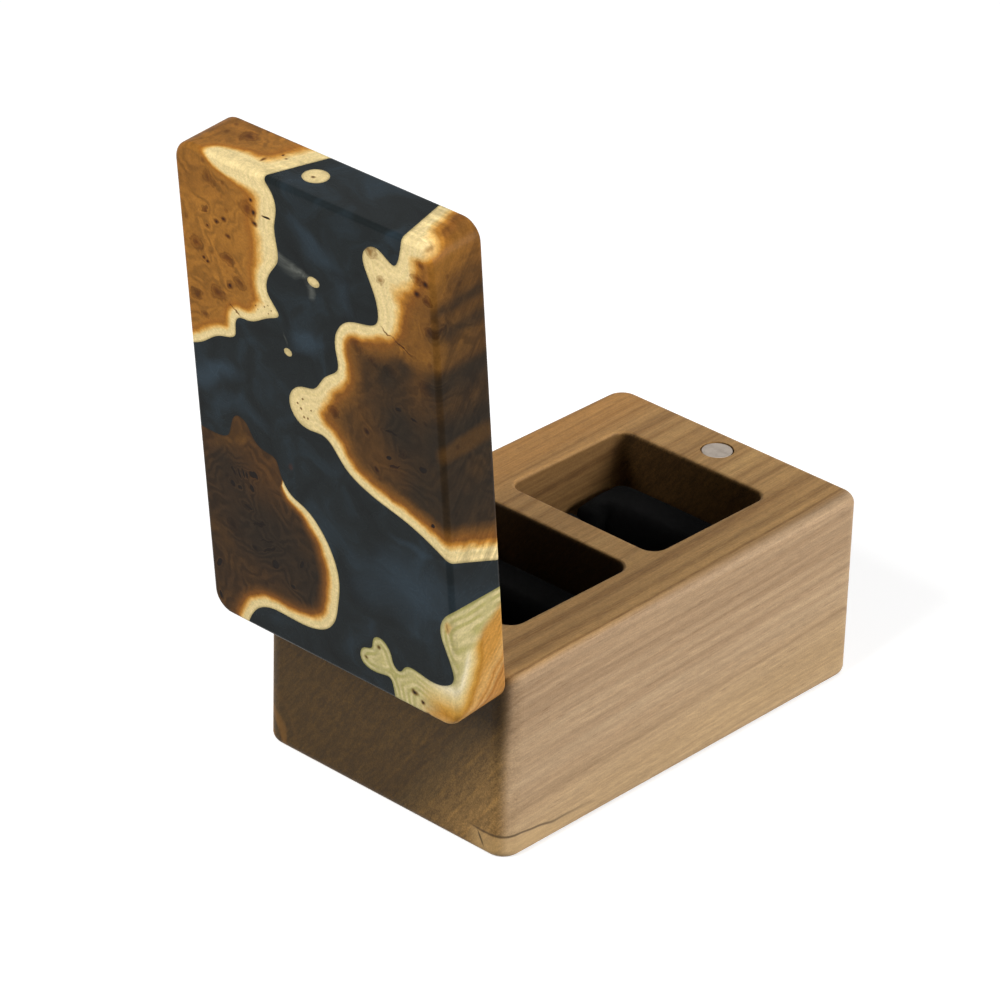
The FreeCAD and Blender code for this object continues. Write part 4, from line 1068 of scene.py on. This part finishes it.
# Soft lamps that all point at one place: name, place, size in metres, power in watts.
LAMP_AIM = Vector((0, 0.01, 0.05))
LAMPS = [
    ("key", (-0.82, -0.30, 0.36), 0.4, 8.3),
    ("fill", (0.10, 0.75, 0.55), 0.5, 8.5),
    ("top", (-0.10, -0.25, 1.0), 0.5, 1.7),
]
AMBIENT = 0.04

# The floor, in metres: the grey it throws back, the greys the camera sees, and its glow to the camera.
FLOOR_REACH = 6.0
FLOOR_GREY = (0.2, 0.2, 0.2, 1.0)
FLOOR_PALE = [(0.74, 0.74, 0.74, 1.0), (0.76, 0.76, 0.76, 1.0)]
FLOOR_SPECK = 30.0
FLOOR_GLOW = 0.53


def camera_and_light():
    """The camera of the photograph, soft lamps, and a world that is white to the camera."""
    lens = bpy.data.cameras.new("camera")
    lens.sensor_width = CAMERA_SENSOR
    lens.lens = CAMERA_LENS
    lens.clip_end = CAMERA_REACH
    eye = placed("camera", lens)
    turn = Matrix((CAMERA_RIGHT, CAMERA_UP, CAMERA_RIGHT.cross(CAMERA_UP))).transposed()
    eye.matrix_world = Matrix.Translation(CAMERA_PLACE) @ turn.to_4x4()
    bpy.context.scene.camera = eye
    for name, place, size, power in LAMPS:
        lamp = bpy.data.lights.new(name, "AREA")
        lamp.size = size
        lamp.energy = power
        holder = placed(name, lamp)
        holder.location = place
        holder.rotation_euler = (LAMP_AIM - Vector(place)).to_track_quat("-Z", "Y").to_euler()
    net = Net(bpy.data.worlds.new("studio"))
    sky = net.add("ShaderNodeBackground")
    net.put(sky.inputs["Color"], WHITE)
    net.put(sky.inputs["Strength"], net.linear(net.seen(), 1.0 - AMBIENT, AMBIENT))
    bpy.context.scene.world = net.end("ShaderNodeOutputWorld", sky)


def floor():
    """A pale floor: white to the camera apart from the shadow, and grey for the light it throws back."""
    mesh = bpy.data.meshes.new("floor")
    sides = (-FLOOR_REACH, FLOOR_REACH)
    mesh.from_pydata([(x, y, 0) for x in sides for y in sides], [], [(0, 2, 3, 1)])
    plane = placed("floor", mesh)
    net = Net(bpy.data.materials.new("pale floor"))
    seen = net.seen()
    speck = net.noise(net.add("ShaderNodeTexCoord").outputs["Object"], FLOOR_SPECK, detail=3)
    pale = net.add("ShaderNodeBsdfDiffuse")
    net.put(pale.inputs["Color"], net.mix(seen, FLOOR_GREY, net.mix(speck, *FLOOR_PALE)))
    glow = net.add("ShaderNodeEmission")
    net.put(glow.inputs["Strength"], net.times(seen, FLOOR_GLOW))
    both = net.add("ShaderNodeAddShader")
    net.put(both.inputs[0], pale.outputs[0])
    net.put(both.inputs[1], glow.outputs[0])
    mesh.materials.append(net.end("ShaderNodeOutputMaterial", both))


# Colours of each burl, and how strong its figure, growth rings, pin eyes and slanting streaks are.
CREAM = [paint(214, 192, 138), paint(232, 208, 152), paint(224, 180, 106)]
GREENISH = [paint(192, 180, 130), paint(210, 194, 142), paint(220, 200, 150)]
BURL_LOOKS = {
    "burl_front_right": dict(
        cream=CREAM, amber=paint(190, 130, 52), rim=paint(152, 96, 36), brown=paint(158, 106, 44),
        heart=paint(112, 70, 30), reach=2.4, figure=0.28, rings=0.2, pins=0.55, slant=0.15,
    ),
    "burl_front_left": dict(
        cream=CREAM, amber=paint(186, 126, 50), rim=paint(128, 80, 32), brown=paint(118, 78, 34),
        heart=paint(40, 31, 21), reach=2.4, figure=0.25, rings=0.2, pins=0.5, slant=0.3,
    ),
    "burl_rear_right": dict(
        cream=CREAM, amber=paint(186, 126, 52), rim=paint(122, 76, 32), brown=paint(98, 64, 30),
        heart=paint(42, 32, 22), reach=2.3, figure=0.35, rings=0.2, pins=0.4, slant=0.2,
    ),
    "burl_rear_left": dict(
        cream=GREENISH, amber=paint(214, 170, 104), rim=paint(200, 150, 84), brown=paint(196, 142, 76),
        heart=paint(170, 118, 60), reach=2.0, figure=0.1, rings=0.8, pins=0.0, slant=0.0,
    ),
    "burl_chips": dict(
        cream=CREAM, amber=paint(196, 150, 80), rim=paint(170, 120, 60), brown=paint(160, 110, 52),
        heart=paint(120, 80, 40), reach=2.0, figure=0.05, rings=0.1, pins=0.0, slant=0.0,
    ),
}

# The lid.
shut_points = turned(np.concatenate([corners_of(node).reshape(-1, 3) for node in CAST_PIECES]), SHUT)
lid_low, lid_high = shut_points.min(0), shut_points.max(0)
resin_tree = tree_of(["lid_resin"])
wood_tree = tree_of(BURLS + ["burl_chips"])
cast = {
    node: cast_piece(node, lid_low, lid_high, wood_tree if node == "lid_resin" else resin_tree)
    for node in CAST_PIECES
}
for node, look in BURL_LOOKS.items():
    cast[node].data.materials.append(burl_material(node, **look))
cast["lid_resin"].data.materials.append(resin_material())

# The base and the metal pieces keep their CAD shapes.
dress("base_block", base_wood_material())
nickel = metal_material("nickel plate", paint(168, 156, 144), paint(150, 139, 128))
brass = metal_material("brass", paint(214, 172, 96), paint(176, 134, 66))
for node in ("base_magnet", "lid_magnet"):
    dress(node, nickel)
for side in ("left", "right"):
    for part in ("base_leaf", "lid_leaf", "pin"):
        dress(f"{side}_hinge_{part}", brass)
for node in ("base_leaf_screws", "lid_leaf_screws"):
    dress(node, brass)

# The soft pieces in the pockets.
velvet = velvet_material()
pad = soft_form(PADS[0], PAD_VOXEL, PAD_START)
inflate(pad)
liner = soft_form(LINERS[0], LINER_VOXEL, LINER_START)
settle(pad, PADS, velvet)
settle(liner, LINERS, velvet)

floor()
camera_and_light()
bpy.context.scene.view_settings.view_transform = "Standard"
